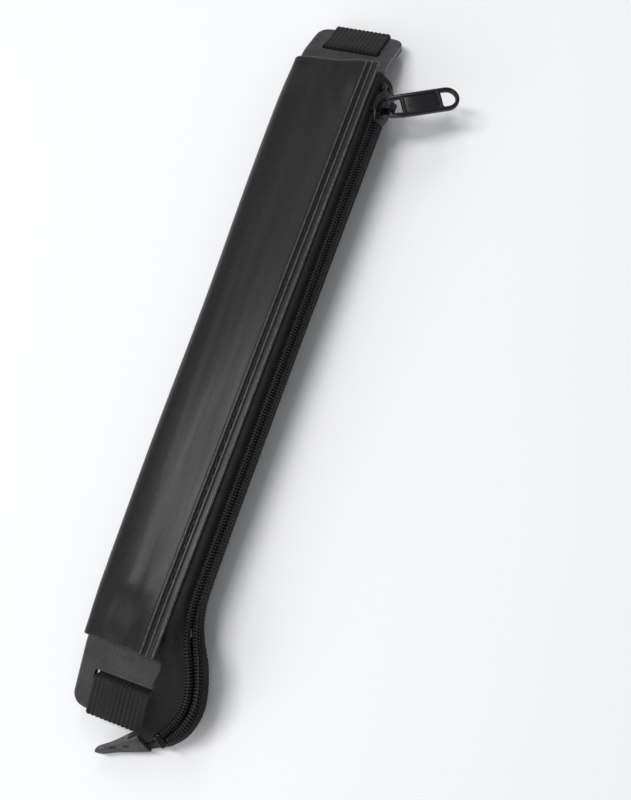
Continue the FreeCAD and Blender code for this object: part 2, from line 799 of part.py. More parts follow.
def make_pull(bar_out):
    """The pull, lying out to the side on the bail. Its own X runs from its bar to its tip."""
    body = new_body("pull_tab")
    half = "pull_width / 2"
    end_round = f"({half})"
    straight = f"(pull_length - pull_bar / 2 - {half})"
    plate = [
        ("0 * pull_bar", f"-{half} + pull_rail * 0.4"),
        ("pull_hole", f"-{half}"),
        (straight, f"-{half}", end_round, 1),
        (straight, half),
        ("pull_hole", half),
        ("0 * pull_bar", f"{half} - pull_rail * 0.4"),
    ]
    base = [
        ("-pull_bar", f"-({half} - pull_rail * 1.25)"),
        ("pull_hole", f"-({half} - pull_rail)"),
        ("pull_hole", f"{half} - pull_rail"),
        ("-pull_bar", f"{half} - pull_rail * 1.25"),
    ]
    tip_round = f"({half} - pull_rim)"
    eye = [
        (f"{straight} - pull_eye", f"-{tip_round}"),
        (straight, f"-{tip_round}", tip_round, 1),
        (straight, tip_round),
        (f"{straight} - pull_eye", tip_round),
    ]
    sketch = new_sketch(body, "pull_outline", "XY_Plane", [plate])
    pad(body, "pull_pad", sketch, "pull_thick", both_ways=True)
    sketch = new_sketch(body, "pull_hole_outline", "XY_Plane", [base, eye])
    pocket(body, "pull_holes", sketch, "2 * pull_thick", both_ways=True)
    ring = [
        ("-pull_bar / 2", "0 * pull_bar", "pull_bar / 2", 1),
        ("pull_bar / 2", "0 * pull_bar", "pull_bar / 2", 1),
    ]
    sketch = new_sketch(body, "pull_bar_outline", "XZ_Plane", [ring])
    pad(body, "pull_bar_pad", sketch, "pull_width - pull_rail * 0.8", both_ways=True)
    panel = rectangle(
        "pull_hole + pull_rim",
        f"{straight} - pull_eye - pull_rim",
        f"-({half} - pull_rim)",
        f"{half} - pull_rim",
    )
    for side in (1, -1):
        sketch = new_sketch(body, f"pull_panel_{side + 1}", "XY_Plane", [panel])
        sketch.setExpression("AttachmentOffset.Base.z", bound(f"{side} * pull_thick / 2"))
        doc.recompute()
        pocket(body, f"pull_recess_{side + 1}", sketch, "pull_face", flip=side < 0)
    chain = slider_placement()
    seat = chain.multVec(V(0, 0, bar_out))
    yaw = FreeCAD.Rotation(V(0, 0, 1), size("pull_yaw"))
    swing = yaw * FreeCAD.Rotation(V(0, 1, 0), size("pull_drop"))
    body.Placement = FreeCAD.Placement(seat, swing)


# ---------------------------------------------------------------- thread and splice
def height_on(points, x):
    """The height of a run of points where it crosses x."""
    before, after = [pair for pair in zip(points, points[1:]) if pair[0].x <= x <= pair[1].x][-1]
    return before.z + (after.z - before.z) * (x - before.x) / (after.x - before.x)


def stitch(start, end):
    along = end - start
    return Part.makeCylinder(size("thread / 2"), along.Length, start, along)


def stitch_row(start, end):
    """Stitches in a straight row between two points."""
    along = (end - start).normalize()
    pitch, long = size("stitch_pitch"), size("stitch")
    count = int((end - start).Length // pitch)
    return [stitch(start + along * pitch * n, start + along * (pitch * n + long)) for n in range(count)]


def make_stitches():
    lift = size("thread / 2 + skin_gap")
    half = size("panel_length / 2")
    taper = half - size("hem_taper")
    rows = []
    seam = size("edge_seam")
    places = [half - size("hem_depth"), taper, -taper, size("hem_depth") - half]
    points = []
    for y in places:
        outer = panel_outer(y)
        x = outer[-1].x - seam
        points.append(V(x, y, height_on(outer, x) + lift))
    for start, end in zip(points, points[1:]):
        rows += stitch_row(start, end)
    feature("edge_stitches", Part.makeCompound(rows))

    left = -size("plate_width / 2 - 0.6 * hem_tuck + panel_thick")
    under = size(f"{REAR} - panel_thick") - lift
    reach = half - size("hem_depth")
    rows = stitch_row(V(left, reach, under), V(left, -reach, under))
    feature("tuck_stitches", Part.makeCompound(rows))

    right = size("plate_width / 2 - tape_tuck / 2")
    under = size(REAR) - lift
    rows = stitch_row(V(right, reach, under), V(right, -size("chain_straight"), under))
    feature("tape_stitches", Part.makeCompound(rows))

    for end, name in ((1, "top_hem_stitches"), (-1, "bottom_hem_stitches")):
        y = end * (half - size("hem_depth / 2"))
        outer = panel_outer(y)
        first, last = outer[4].x, size("plate_width / 2 - tape_width")
        pitch = size("stitch_pitch")
        rows = []
        for n in range(int((last - first) // pitch) + 1):
            x = first + n * pitch
            ends = [V(a, y, height_on(outer, a) + 1.2 * lift) for a in (x, x + size("stitch"))]
            rows.append(stitch(*ends))
        feature(name, Part.makeCompound(rows))


def make_splice():
    """Where the band's two ends lap and are sewn together, on its inner face."""
    lap = doc.addObject("Part::Box", "band_splice")
    lap.Label = "band_splice"
    for side, words in (("Length", "band_width"), ("Width", "splice_length"), ("Height", "band_thick")):
        lap.setExpression(side, bound(words))
    lap.setExpression("Placement.Base.x", bound("-band_width / 2"))
    lap.setExpression("Placement.Base.y", bound("-splice_length / 2"))
    lap.setExpression("Placement.Base.z", bound("band_thick"))
    doc.recompute()
    parts["band_splice"] = lap
    lift = size("2 * band_thick + thread / 2 + skin_gap")
    rows = []
    inset = size("band_width / 2") - 2
    for y in (-1, 1):
        place_y = y * size("splice_length / 2 - 2")
        rows += stitch_row(V(-inset, place_y, lift), V(inset + 1, place_y, lift))
    feature("splice_stitches", Part.makeCompound(rows))


# ---------------------------------------------------------------- build
make_plate()
make_band()
make_splice()
make_panel()
make_lining()
make_hem("top_hem", 1)
make_hem("bottom_hem", -1)
make_tapes()
make_coils()
make_stops()
make_end_tab()
make_pull(make_slider())
make_stitches()

doc.recompute()
for item in doc.Objects:
    assert not {"Invalid", "Error"} & set(item.State), f"{item.Label} failed: {item.State}"
os.makedirs("parts", exist_ok=True)
for label, item in parts.items():
    assert item.Label == label, f"{item.Label} isn't {label}"
    assert not item.Shape.isNull() and item.Shape.isValid(), f"{label} isn't valid"
    item.Shape.exportStep(f"parts/{label}.step")
print(len(parts), "parts")
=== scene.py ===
import json
import math

import bmesh
import bpy
from mathutils import Matrix, Vector


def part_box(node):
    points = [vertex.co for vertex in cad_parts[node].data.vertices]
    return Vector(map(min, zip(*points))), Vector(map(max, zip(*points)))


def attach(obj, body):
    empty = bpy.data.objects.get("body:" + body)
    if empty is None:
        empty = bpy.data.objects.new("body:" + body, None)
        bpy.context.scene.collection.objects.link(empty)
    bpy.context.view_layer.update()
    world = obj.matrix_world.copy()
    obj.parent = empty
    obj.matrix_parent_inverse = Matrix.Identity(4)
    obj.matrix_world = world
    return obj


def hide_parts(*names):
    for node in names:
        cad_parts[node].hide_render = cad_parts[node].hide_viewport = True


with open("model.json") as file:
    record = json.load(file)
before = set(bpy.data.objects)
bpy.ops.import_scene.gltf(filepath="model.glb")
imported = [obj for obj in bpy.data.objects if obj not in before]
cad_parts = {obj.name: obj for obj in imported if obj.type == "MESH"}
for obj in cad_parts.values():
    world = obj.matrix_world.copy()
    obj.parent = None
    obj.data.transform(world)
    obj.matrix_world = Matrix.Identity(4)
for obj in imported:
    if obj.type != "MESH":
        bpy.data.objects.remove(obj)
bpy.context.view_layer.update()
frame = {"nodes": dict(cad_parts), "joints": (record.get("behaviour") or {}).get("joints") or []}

# Lengths are in millimetres until a mesh is made.
MM = 0.001
UP = Vector((0, 0, 1))
ALONG = Vector((0, 1, 0))


def corners_of(node):
    """The lowest and highest corner of a CAD node, in millimetres."""
    return [Vector(corner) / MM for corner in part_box(node)]


SKIN_LOW, SKIN_HIGH = corners_of("front_skin")
PANEL_HIGH = corners_of("front_panel")[1]
BAND_HIGH = corners_of("elastic_band")[1]
REAR = 10.5
FACE = 12.6
HALF = PANEL_HIGH.y
PLATE_HALF = SKIN_HIGH.x
SKIN_THICK = 0.8
STIFF_THICK = 0.5
PANEL_THICK = 1.0
PANEL_HEIGHT = PANEL_HIGH.z - FACE
BAND_HALF = BAND_HIGH.x
BAND_THICK = 1.2
TAPE_THICK = 0.4
COIL_NEAR, COIL_FAR = 0.5, 2.6
COIL_HALF = 0.9
SLIDER_PLACE = 88.5
SLIDER_LENGTH = 11.5
SLIDER_WIDTH = 7.2
SEAM_FROM_EDGE = 3.25
STITCH_PITCH = 3.8
CHAIN_LEAN = math.radians(1.2)
CHAIN_ROLL = 60.0
CHAIN_OUT = 2.0
CHAIN_HEIGHT = 4.6


# ---------------------------------------------------------------- runs and curves
class Run:
    """A run of straight steps that can be read at any distance along it."""

    def __init__(self, points):
        self.points = points
        self.far = [0.0]
        for before, after in zip(points, points[1:]):
            self.far.append(self.far[-1] + (after - before).length)
        self.length = self.far[-1]

    def at(self, distance):
        distance = min(max(distance, 0.0), self.length)
        for number in range(1, len(self.far)):
            if self.far[number] >= distance:
                break
        span = self.far[number] - self.far[number - 1]
        share = (distance - self.far[number - 1]) / span if span else 0.0
        return self.points[number - 1].lerp(self.points[number], share)

    def evenly(self, steps):
        return [self.at(self.length * n / steps) for n in range(steps + 1)]


def blend_through(values, places, wanted):
    """Vectors or numbers on a smooth line through the given ones, which stand at places."""
    slopes = []
    for number in range(len(values)):
        before, after = max(number - 1, 0), min(number + 1, len(values) - 1)
        slopes.append((values[after] - values[before]) / (places[after] - places[before]))
    found = []
    for place in wanted:
        number = 0
        while number < len(places) - 2 and place > places[number + 1]:
            number += 1
        span = places[number + 1] - places[number]
        t = (place - places[number]) / span
        found.append(
            values[number] * (2 * t ** 3 - 3 * t ** 2 + 1)
            + slopes[number] * span * (t ** 3 - 2 * t ** 2 + t)
            + values[number + 1] * (3 * t ** 2 - 2 * t ** 3)
            + slopes[number + 1] * span * (t ** 3 - t ** 2)
        )
    return found


def smooth_run(points, steps=8):
    """A finely divided smooth curve through the points."""
    places = Run(points).far
    wanted = []
    for before, after in zip(places, places[1:]):
        wanted += [before + (after - before) * n / steps for n in range(steps)]
    return Run(blend_through(points, places, wanted + [places[-1]]))


def spread(start, end, step):
    """Places from start to end, about a step apart."""
    count = max(int(abs(end - start) / step), 1)
    return [start + (end - start) * n / count for n in range(count + 1)]


def turned(direction, normal):
    """The direction square to a run, in the plane that has this normal."""
    return direction.cross(normal).normalized()


def turns(count):
    """The angles of a whole turn, in equal steps."""
    return [2 * math.pi * step / count for step in range(count)]


def squared_off(value, power):
    """A sine or cosine raised to a power, which squares off a round outline."""
    return math.copysign(abs(value) ** power, value)


def matrix_of(directions, place):
    """The matrix that turns X, Y and Z to three directions and moves to a place in metres."""
    matrix = Matrix(directions).transposed().to_4x4()
    matrix.translation = place
    return matrix


def outward(points, number, normal):
    """The direction square to a run of points at one of them."""
    last = len(points) - 1
    return turned(points[min(number + 1, last)] - points[max(number - 1, 0)], normal)


def strip_ring(run, thick, normal, relief=None):
    """The outline of a thin layer round its middle run, with rounded edges. relief gives the
    rise of its outer face at each point."""
    over, under = [], []
    last = len(run) - 1
    for number, point in enumerate(run):
        direction = run[min(number + 1, last)] - run[max(number - 1, 0)]
        out = turned(direction, normal)
        rise = relief[number] if relief else 0.0
        over.append(point + out * (thick / 2 + rise))
        under.append(point - out * thick / 2)
        if number in (0, last):
            beyond = direction.normalized() * thick * (0.32 if number else -0.32)
            rims = [point + beyond + out * thick * 0.22, point + beyond - out * thick * 0.22]
            if number:
                over.append(rims[0])
                under.append(rims[1])
            else:
                over.insert(0, rims[0])
                under.insert(0, rims[1])
    return over + under[::-1]


# ---------------------------------------------------------------- meshes
def finished(mesh, name, material, slot_name, body, *nodes):
    """A finished piece: its faces turned outwards, its finish, body and CAD nodes set."""
    work = bmesh.new()
    work.from_mesh(mesh)
    bmesh.ops.remove_doubles(work, verts=work.verts, dist=1e-7)
    bmesh.ops.recalc_face_normals(work, faces=work.faces)
    work.to_mesh(mesh)
    work.free()
    piece = bpy.data.objects.new(name, mesh)
    bpy.context.scene.collection.objects.link(piece)
    mesh.materials.clear()
    mesh.materials.append(material)
    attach(piece, body)
    if nodes:
        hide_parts(*nodes)
    return piece


def mark_wear_and_highlight(mesh, values):
    """Writes how much paler each point of a mesh is coloured, from 0 to 1: scuffed edges on the plate and
    tab, a painted highlight on the panel's seam ridges and ends and on the coil's heads, an even paler tone
    on the metal.
    """
    mesh.attributes.new("wear_and_highlight", "FLOAT", "POINT").data.foreach_set("value", values)


def loft(rings, loop=False, sharp=math.radians(50)):
    """A closed skin through rings of equal count. Each ring runs out along one face of a
    layer and back along the other, so its ends close with pairs of faces."""
    count = len(rings[0])
    middle = rings[len(rings) // 2]
    across = Run(middle + [middle[0]]).far
    along = Run([sum(ring, Vector()) / count for ring in rings]).far
    faces, places = [], []
    rows = len(rings)
    for row in range(rows if loop else rows - 1):
        next_row = (row + 1) % rows
        near, far = along[row], along[row + 1] if row + 1 < rows else along[row] + 1.0
        for column in range(count):
            after = (column + 1) % count
            faces.append((
                row * count + column,
                row * count + after,
                next_row * count + after,
                next_row * count + column,
            ))
            sides = (across[column], across[column + 1])
            places += [(sides[0], near), (sides[1], near), (sides[1], far), (sides[0], far)]
    if not loop:
        for row in (0, rows - 1):
            for column in range(count // 2 - 1):
                pair = (column, column + 1, count - 2 - column, count - 1 - column)
                faces.append(tuple(row * count + number for number in pair))
                places += [(across[number], along[row]) for number in pair]
    mesh = bpy.data.meshes.new("skin")
    mesh.from_pydata([point * MM for ring in rings for point in ring], [], faces)
    layout = mesh.uv_layers.new(name="cloth")
    for number, place in enumerate(places):
        layout.data[number].uv = (place[0] * MM, place[1] * MM)
    mesh.shade_smooth()
    mesh.set_sharp_from_angle(angle=sharp)
    return mesh


def evaluated(piece):
    """The plain mesh that an object's modifiers make."""
    graph = bpy.context.evaluated_depsgraph_get()
    mesh = bpy.data.meshes.new_from_object(piece.evaluated_get(graph))
    bpy.data.objects.remove(piece)
    return mesh


def with_modifiers(mesh, *steps):
    """A mesh after modifiers, each a kind and its settings."""
    piece = bpy.data.objects.new("unfinished", mesh)
    bpy.context.scene.collection.objects.link(piece)
    for kind, settings in steps:
        modifier = piece.modifiers.new(kind.lower(), kind)
        for setting, value in settings.items():
            setattr(modifier, setting, value)
    return evaluated(piece)


def joined(*meshes):
    """Several meshes as one."""
    work = bmesh.new()
    for mesh in meshes:
        work.from_mesh(mesh)
    whole = bpy.data.meshes.new("joined")
    work.to_mesh(whole)
    work.free()
    return whole


def plate_from(outlines, thick, bevel, place):
    """A flat plate with holes and rounded edges, from closed outlines in its own plane."""
    curve = bpy.data.curves.new("plate", "CURVE")
    curve.dimensions = "2D"
    curve.fill_mode = "BOTH"
    curve.extrude = (thick / 2 - bevel) * MM
    curve.bevel_depth = bevel * MM
    curve.offset = -bevel * MM
    curve.bevel_resolution = 2
    for outline in outlines:
        line = curve.splines.new("POLY")
        line.points.add(len(outline) - 1)
        for point, (x, y) in zip(line.points, outline):
            point.co = (x * MM, y * MM, 0, 1)
        line.use_cyclic_u = True
    piece = bpy.data.objects.new("plate", curve)
    bpy.context.scene.collection.objects.link(piece)
    mesh = evaluated(piece)
    mesh.transform(place)
    mesh.shade_smooth()
    mesh.set_sharp_from_angle(angle=math.radians(35))
    return mesh


def arc(centre, radius, start, end, steps):
    """Points on an arc in the plane, between two angles in degrees."""
    points = []
    for turn in spread(math.radians(start), math.radians(end), math.radians(abs(end - start)) / steps):
        points.append((centre[0] + radius * math.cos(turn), centre[1] + radius * math.sin(turn)))
    return points


def four_corners(left, right, near, far):
    """The corners of a rectangle."""
    return [(left, near), (right, near), (right, far), (left, far)]


def rounded_outline(corners, radius, steps=5):
    """A closed outline of straight sides with its corners rounded."""
    points = []
    for number, corner in enumerate(corners):
        here = Vector(corner)
        before = Vector(corners[number - 1])
        after = Vector(corners[(number + 1) % len(corners)])
        start = here + (before - here).normalized() * radius
        end = here + (after - here).normalized() * radius
        for step in range(steps + 1):
            t = step / steps
            point = start * (1 - t) ** 2 + here * 2 * t * (1 - t) + end * t ** 2
            points.append((point.x, point.y))
    return points


# ---------------------------------------------------------------- shader groups
def shader_group(name, inputs, outputs):
    """An empty shader node group. Each input is (name, kind, value)."""
    tree = bpy.data.node_groups.new(name, "ShaderNodeTree")
    for title, kind, value in inputs:
        socket = tree.interface.new_socket(title, in_out="INPUT", socket_type=f"NodeSocket{kind}")
        if value is not None:
            socket.default_value = value
    for title, kind in outputs:
        tree.interface.new_socket(title, in_out="OUTPUT", socket_type=f"NodeSocket{kind}")
    return tree, tree.nodes.new("NodeGroupInput"), tree.nodes.new("NodeGroupOutput")


def add(tree, kind, links=(), **settings):
    """A node with its settings, and its inputs linked or set."""
    node = tree.nodes.new(f"ShaderNode{kind}")
    for setting, value in settings.items():
        setattr(node, setting, value)
    for socket, source in links:
        if isinstance(source, bpy.types.NodeSocket):
            tree.links.new(source, node.inputs[socket])
        else:
            node.inputs[socket].default_value = source
    return node


def scaled(tree, value, low, high, new_low, new_high):
    """A value moved from one range to another, and held there."""
    sockets = ("Value", "From Min", "From Max", "To Min", "To Max")
    links = zip(sockets, (value, low, high, new_low, new_high))
    return add(tree, "MapRange", links).outputs["Result"]


def math_node(tree, operation, first, second=0.0):
    return add(tree, "Math", [(0, first), (1, second)], operation=operation).outputs[0]


def grain_group():
    """Fine pebbled leather grain with wandering creases, and a mask of its pits for painted shade."""
    tree, given, made = shader_group(
        "leather grain",
        [("Place", "Vector", None), ("Pebbles per metre", "Float", 1500.0), ("Crease", "Float", 0.5)],
        [("Height", "Float"), ("Pit shade", "Float")],
    )
    place = given.outputs["Place"]
    warp = add(tree, "TexNoise", [("Vector", place), ("Scale", 300.0), ("Detail", 2.0)])
    moved = add(tree, "VectorMath", [(0, warp.outputs["Color"]), ("Scale", 0.0006)], operation="SCALE")
    placed = add(tree, "VectorMath", [(0, place), (1, moved.outputs[0])], operation="ADD")
    cells = add(tree, "TexVoronoi", [
        ("Vector", placed.outputs[0]),
        ("Scale", given.outputs["Pebbles per metre"]),
    ], feature="DISTANCE_TO_EDGE")
    pebble = scaled(tree, cells.outputs["Distance"], 0.0, 0.25, 0.0, 1.0)
    crease = add(tree, "TexNoise", [("Vector", placed.outputs[0]), ("Scale", 170.0), ("Detail", 6.0)])
    ridge = math_node(tree, "ABSOLUTE", math_node(tree, "SUBTRACT", crease.outputs["Fac"], 0.5))
    fold = scaled(tree, ridge, 0.0, 0.05, 0.0, 1.0)
    deep = math_node(tree, "MULTIPLY", fold, given.outputs["Crease"])
    height = math_node(tree, "ADD", math_node(tree, "MULTIPLY", pebble, 0.5), deep)
    tree.links.new(height, made.inputs["Height"])
    tree.links.new(scaled(tree, cells.outputs["Distance"], 0.0, 0.08, 1.0, 0.0), made.inputs["Pit shade"])
    return tree


def weave_group():
    """Woven threads: ribs one way, crossed by threads the other way, with fuzz; Shade is painted shade, dark
    in the weave's low places and pale on its raised threads.
    """
    tree, given, made = shader_group(
        "woven threads",
        [
            ("Place", "Vector", None),
            ("Ribs per metre", "Float", 1600.0),
            ("Picks per metre", "Float", 1600.0),
            ("Slant", "Float", 1.0),
        ],
        [("Height", "Float"), ("Shade", "Float")],
    )
    parts = add(tree, "SeparateXYZ", [(0, given.outputs["Place"])])
    across, along = parts.outputs[0], parts.outputs[1]
    bend = add(tree, "TexNoise", [("Vector", given.outputs["Place"]), ("Scale", 500.0), ("Detail", 2.0)])
    wander = math_node(tree, "MULTIPLY", math_node(tree, "SUBTRACT", bend.outputs["Fac"], 0.5), 2.2)
    ribs = math_node(tree, "MULTIPLY", across, given.outputs["Ribs per metre"])
    picks = math_node(tree, "MULTIPLY", along, given.outputs["Picks per metre"])
    slanted = math_node(tree, "ADD", ribs, math_node(tree, "MULTIPLY", picks, given.outputs["Slant"]))
    turn = 2 * math.pi
    one = math_node(tree, "SINE", math_node(tree, "ADD", math_node(tree, "MULTIPLY", slanted, turn), wander))
    two = math_node(tree, "SINE", math_node(tree, "ADD", math_node(tree, "MULTIPLY", picks, turn), wander))
    product = math_node(tree, "MULTIPLY", one, two)
    crossings = math_node(tree, "MULTIPLY", product, 0.3)
    thread = math_node(tree, "ADD", crossings, math_node(tree, "MULTIPLY", one, 0.25))
    fuzz = add(tree, "TexNoise", [("Vector", given.outputs["Place"]), ("Scale", 6000.0), ("Detail", 2.0)])
    rough = math_node(tree, "MULTIPLY", fuzz.outputs["Fac"], 0.35)
    height = math_node(tree, "ADD", math_node(tree, "ADD", thread, 0.5), rough)
    tree.links.new(height, made.inputs["Height"])
    tree.links.new(scaled(tree, height, 0.1, 1.1, 0.0, 1.0), made.inputs["Shade"])
    return tree


def wear_and_highlight_group():
    """Patches of dulling and dust, and the paler places that a piece marks itself: scuffed edges on some
    pieces, a painted highlight on others.
    """
    tree, given, made = shader_group(
        "handling wear",
        [("Place", "Vector", None), ("Patches per metre", "Float", 60.0), ("Stretch", "Float", 1.0)],
        [("Patches", "Float"), ("Wear and highlight", "Float"), ("Dust", "Float")],
    )
    shape = add(tree, "CombineXYZ", [(0, 1.0), (1, given.outputs["Stretch"]), (2, 1.0)])
    links = [(0, given.outputs["Place"]), (1, shape.outputs[0])]
    place = add(tree, "VectorMath", links, operation="MULTIPLY")
    patches = add(tree, "TexNoise", [
        ("Vector", place.outputs[0]),
        ("Scale", given.outputs["Patches per metre"]),
        ("Detail", 5.0),
        ("Roughness", 0.6),
    ])
    tree.links.new(scaled(tree, patches.outputs["Fac"], 0.32, 0.68, 0.0, 1.0), made.inputs["Patches"])
    marked = add(tree, "Attribute", attribute_name="wear_and_highlight")
    broken = add(tree, "TexNoise", [("Vector", given.outputs["Place"]), ("Scale", 900.0), ("Detail", 3.0)])
    uneven = scaled(tree, broken.outputs["Fac"], 0.3, 0.6, 0.45, 1.0)
    pale_share = math_node(tree, "MULTIPLY", marked.outputs["Fac"], uneven)
    tree.links.new(pale_share, made.inputs["Wear and highlight"])
    specks = add(tree, "TexNoise", [("Vector", given.outputs["Place"]), ("Scale", 2600.0), ("Detail", 1.0)])
    tree.links.new(scaled(tree, specks.outputs["Fac"], 0.7, 0.76, 0.0, 1.0), made.inputs["Dust"])
    return tree


GRAIN = grain_group()
WEAVE = weave_group()
WEAR_AND_HIGHLIGHT = wear_and_highlight_group()


# ---------------------------------------------------------------- finishes
class Finish:
    """A material that is being made: its tree, its shader and where its patterns are read."""

    def __init__(self, name, read="Object", **values):
        self.material = bpy.data.materials.new(name)
        self.material.use_nodes = True
        self.tree = self.material.node_tree
        self.shader = self.tree.nodes["Principled BSDF"]
        self.place = add(self.tree, "TexCoord").outputs[read]
        for socket, value in values.items():
            self.shader.inputs[socket.replace("_", " ")].default_value = value

    def group(self, tree, **values):
        node = self.tree.nodes.new("ShaderNodeGroup")
        node.node_tree = tree
        self.tree.links.new(self.place, node.inputs["Place"])
        for socket, value in values.items():
            node.inputs[socket.replace("_", " ")].default_value = value
        return node

    def mix(self, share, first, second):
        """A colour between two, by a share."""
        node = add(self.tree, "Mix", data_type="RGBA")
        self.tree.links.new(share, node.inputs["Factor"])
        for number, colour in ((6, first), (7, second)):
            if isinstance(colour, bpy.types.NodeSocket):
                self.tree.links.new(colour, node.inputs[number])
            else:
                node.inputs[number].default_value = (*colour, 1.0)
        return node.outputs[2]

    def bump(self, height, depth, strength=1.0):
        links = [("Height", height), ("Distance", depth * MM), ("Strength", strength)]
        return add(self.tree, "Bump", links).outputs["Normal"]

    def set(self, **sockets):
        for socket, source in sockets.items():
            self.tree.links.new(source, self.shader.inputs[socket.replace("_", " ")])
        return self.material


def leather(name, dark, pale, rough, crease, stretch=0.12):
    """Smooth black coated leather: fine grain with painted shade in its pits, long soft streaks of gloss, and
    paler marked places: scuffed edges on the plate and tab, a painted highlight on the panel's seam ridges
    and ends.
    """
    finish = Finish(name, Coat_Roughness=0.3, Specular_IOR_Level=0.22)
    grain = finish.group(GRAIN, Crease=crease)
    wear_and_highlight_marks = finish.group(WEAR_AND_HIGHLIGHT, Patches_per_metre=95.0, Stretch=stretch)
    colour = finish.mix(wear_and_highlight_marks.outputs["Patches"], dark, pale)
    # painted highlight colour on the panel's seam ridges and ends; the colour of scuffed edges on the plate
    # and tab
    wear_and_highlight = [channel * 4.5 + 0.06 for channel in pale]
    colour = finish.mix(wear_and_highlight_marks.outputs["Wear and highlight"], colour, wear_and_highlight)
    # painted shade: the grain's pits take half the dark colour
    colour = finish.mix(grain.outputs["Pit shade"], colour, [channel * 0.5 for channel in dark])
    dusty = math_node(finish.tree, "MULTIPLY", wear_and_highlight_marks.outputs["Dust"], 0.25)
    colour = finish.mix(dusty, colour, (0.16, 0.15, 0.14))
    gloss = scaled(finish.tree, wear_and_highlight_marks.outputs["Patches"], 0.0, 1.0, rough + 0.1, rough - 0.1)
    normal = finish.bump(grain.outputs["Height"], 0.035, 0.55)
    coat = scaled(finish.tree, wear_and_highlight_marks.outputs["Patches"], 0.0, 1.0, 0.0, 0.12)
    return finish.set(Base_Color=colour, Roughness=gloss, Normal=normal, Coat_Weight=coat)


def cloth(name, dark, pale, ribs, picks, slant, depth, sheen):
    """Woven or knitted cloth, its threads following the piece."""
    finish = Finish(name, "UV", Sheen_Weight=sheen, Sheen_Roughness=0.45, Specular_IOR_Level=0.3)
    weave = finish.group(WEAVE, Ribs_per_metre=ribs, Picks_per_metre=picks, Slant=slant)
    wear_and_highlight_marks = finish.group(WEAR_AND_HIGHLIGHT, Patches_per_metre=140.0)
    # painted shade: the weave's low places darker and its raised threads paler
    colour = finish.mix(weave.outputs["Shade"], dark, pale)
    colour = finish.mix(wear_and_highlight_marks.outputs["Wear and highlight"], colour, [channel * 3 for channel in pale])
    dusty = math_node(finish.tree, "MULTIPLY", wear_and_highlight_marks.outputs["Dust"], 0.3)
    colour = finish.mix(dusty, colour, (0.13, 0.125, 0.12))
    gloss = scaled(finish.tree, wear_and_highlight_marks.outputs["Patches"], 0.0, 1.0, 0.82, 0.68)
    return finish.set(Base_Color=colour, Roughness=gloss, Normal=finish.bump(weave.outputs["Height"], depth))


def moulded(name, dark, pale, rough, pit_scale, depth, **values):
    """Nylon, thread or enamel: slight unevenness, paler marked places (a painted highlight on the coil's
    heads, an even paler tone on the metal) and specks of dust.
    """
    finish = Finish(name, **values)
    wear_and_highlight_marks = finish.group(WEAR_AND_HIGHLIGHT, Patches_per_metre=pit_scale)
    colour = finish.mix(wear_and_highlight_marks.outputs["Patches"], dark, pale)
    # painted highlight on the coil's heads; an even paler tone on the metal
    colour = finish.mix(wear_and_highlight_marks.outputs["Wear and highlight"], colour, [channel * 4 + 0.01 for channel in pale])
    gloss = scaled(finish.tree, wear_and_highlight_marks.outputs["Patches"], 0.0, 1.0, rough + 0.06, rough - 0.05)
    normal = finish.bump(wear_and_highlight_marks.outputs["Patches"], depth, 0.6)
    return finish.set(Base_Color=colour, Roughness=gloss, Normal=normal)


PANEL_LEATHER = leather(
    "panel leather", (0.0085, 0.0086, 0.0088), (0.0155, 0.0156, 0.016),
    rough=0.42, crease=0.3, stretch=0.05,
)
PLATE_LEATHER = leather(
    "plate leather", (0.034, 0.034, 0.035), (0.052, 0.052, 0.053),
    rough=0.5, crease=0.25, stretch=1.0,
)
TAB_LEATHER = leather(
    "end tab leather", (0.03, 0.03, 0.031), (0.055, 0.055, 0.056),
    rough=0.55, crease=0.8, stretch=1.0,
)
TAPE_CLOTH = cloth(
    "zipper tape", (0.002, 0.002, 0.0021), (0.01, 0.01, 0.0102),
    ribs=1250.0, picks=1250.0, slant=0.5, depth=0.14, sheen=0.03,
)
LINING_CLOTH = cloth(
    "pocket lining", (0.006, 0.006, 0.0065), (0.016, 0.016, 0.017),
    ribs=2600.0, picks=2600.0, slant=0.0, depth=0.05, sheen=0.1,
)
ELASTIC_KNIT = cloth(
    "elastic knit", (0.004, 0.004, 0.0041), (0.016, 0.016, 0.0162),
    ribs=700.0, picks=1100.0, slant=0.0, depth=0.14, sheen=0.05,
)
COIL_NYLON = moulded(
    "coil nylon", (0.0025, 0.0026, 0.003), (0.006, 0.0063, 0.007),
    rough=0.42, pit_scale=900.0, depth=0.02, Specular_IOR_Level=0.4,
)
SEAM_THREAD = moulded(
    "seam thread", (0.005, 0.005, 0.005), (0.012, 0.012, 0.012),
    rough=0.5, pit_scale=4000.0, depth=0.05,
)
ENAMEL = moulded(
    "black enamel", (0.003, 0.003, 0.0032), (0.005, 0.005, 0.0054),
    rough=0.22, pit_scale=260.0, depth=0.012,
    Coat_Weight=0.05, Specular_IOR_Level=0.35, Coat_Roughness=0.08,
)
CARD = moulded(
    "stiffener card", (0.12, 0.11, 0.1), (0.17, 0.155, 0.14),
    rough=0.85, pit_scale=700.0, depth=0.03,
)


# ---------------------------------------------------------------- the front panel
def panel_edge(y):
    return PLATE_HALF - 2.9 + math.tan(math.radians(1.5)) * y


def swell(x, y):
    """Slow unevenness of the stuffed leather, and soft pulls towards its ends."""
    slow = math.sin(0.071 * y + 0.9) * math.sin(0.16 * x + 0.4) + 0.6 * math.sin(0.037 * y + 0.12 * x)
    near_end = max(0.0, 1 - (HALF - abs(y)) / 26)
    pulls = math.sin(0.85 * x + 0.22 * (y if y > 0 else -y) + 0.7) * near_end * (1 - near_end) * 3
    streaks = math.sin(1.25 * x + 0.03 * y) * math.sin(0.021 * y + 1.1) + math.sin(0.62 * x - 0.045 * y + 2.0)
    return 0.16 * slow + 0.13 * pulls + 0.035 * streaks


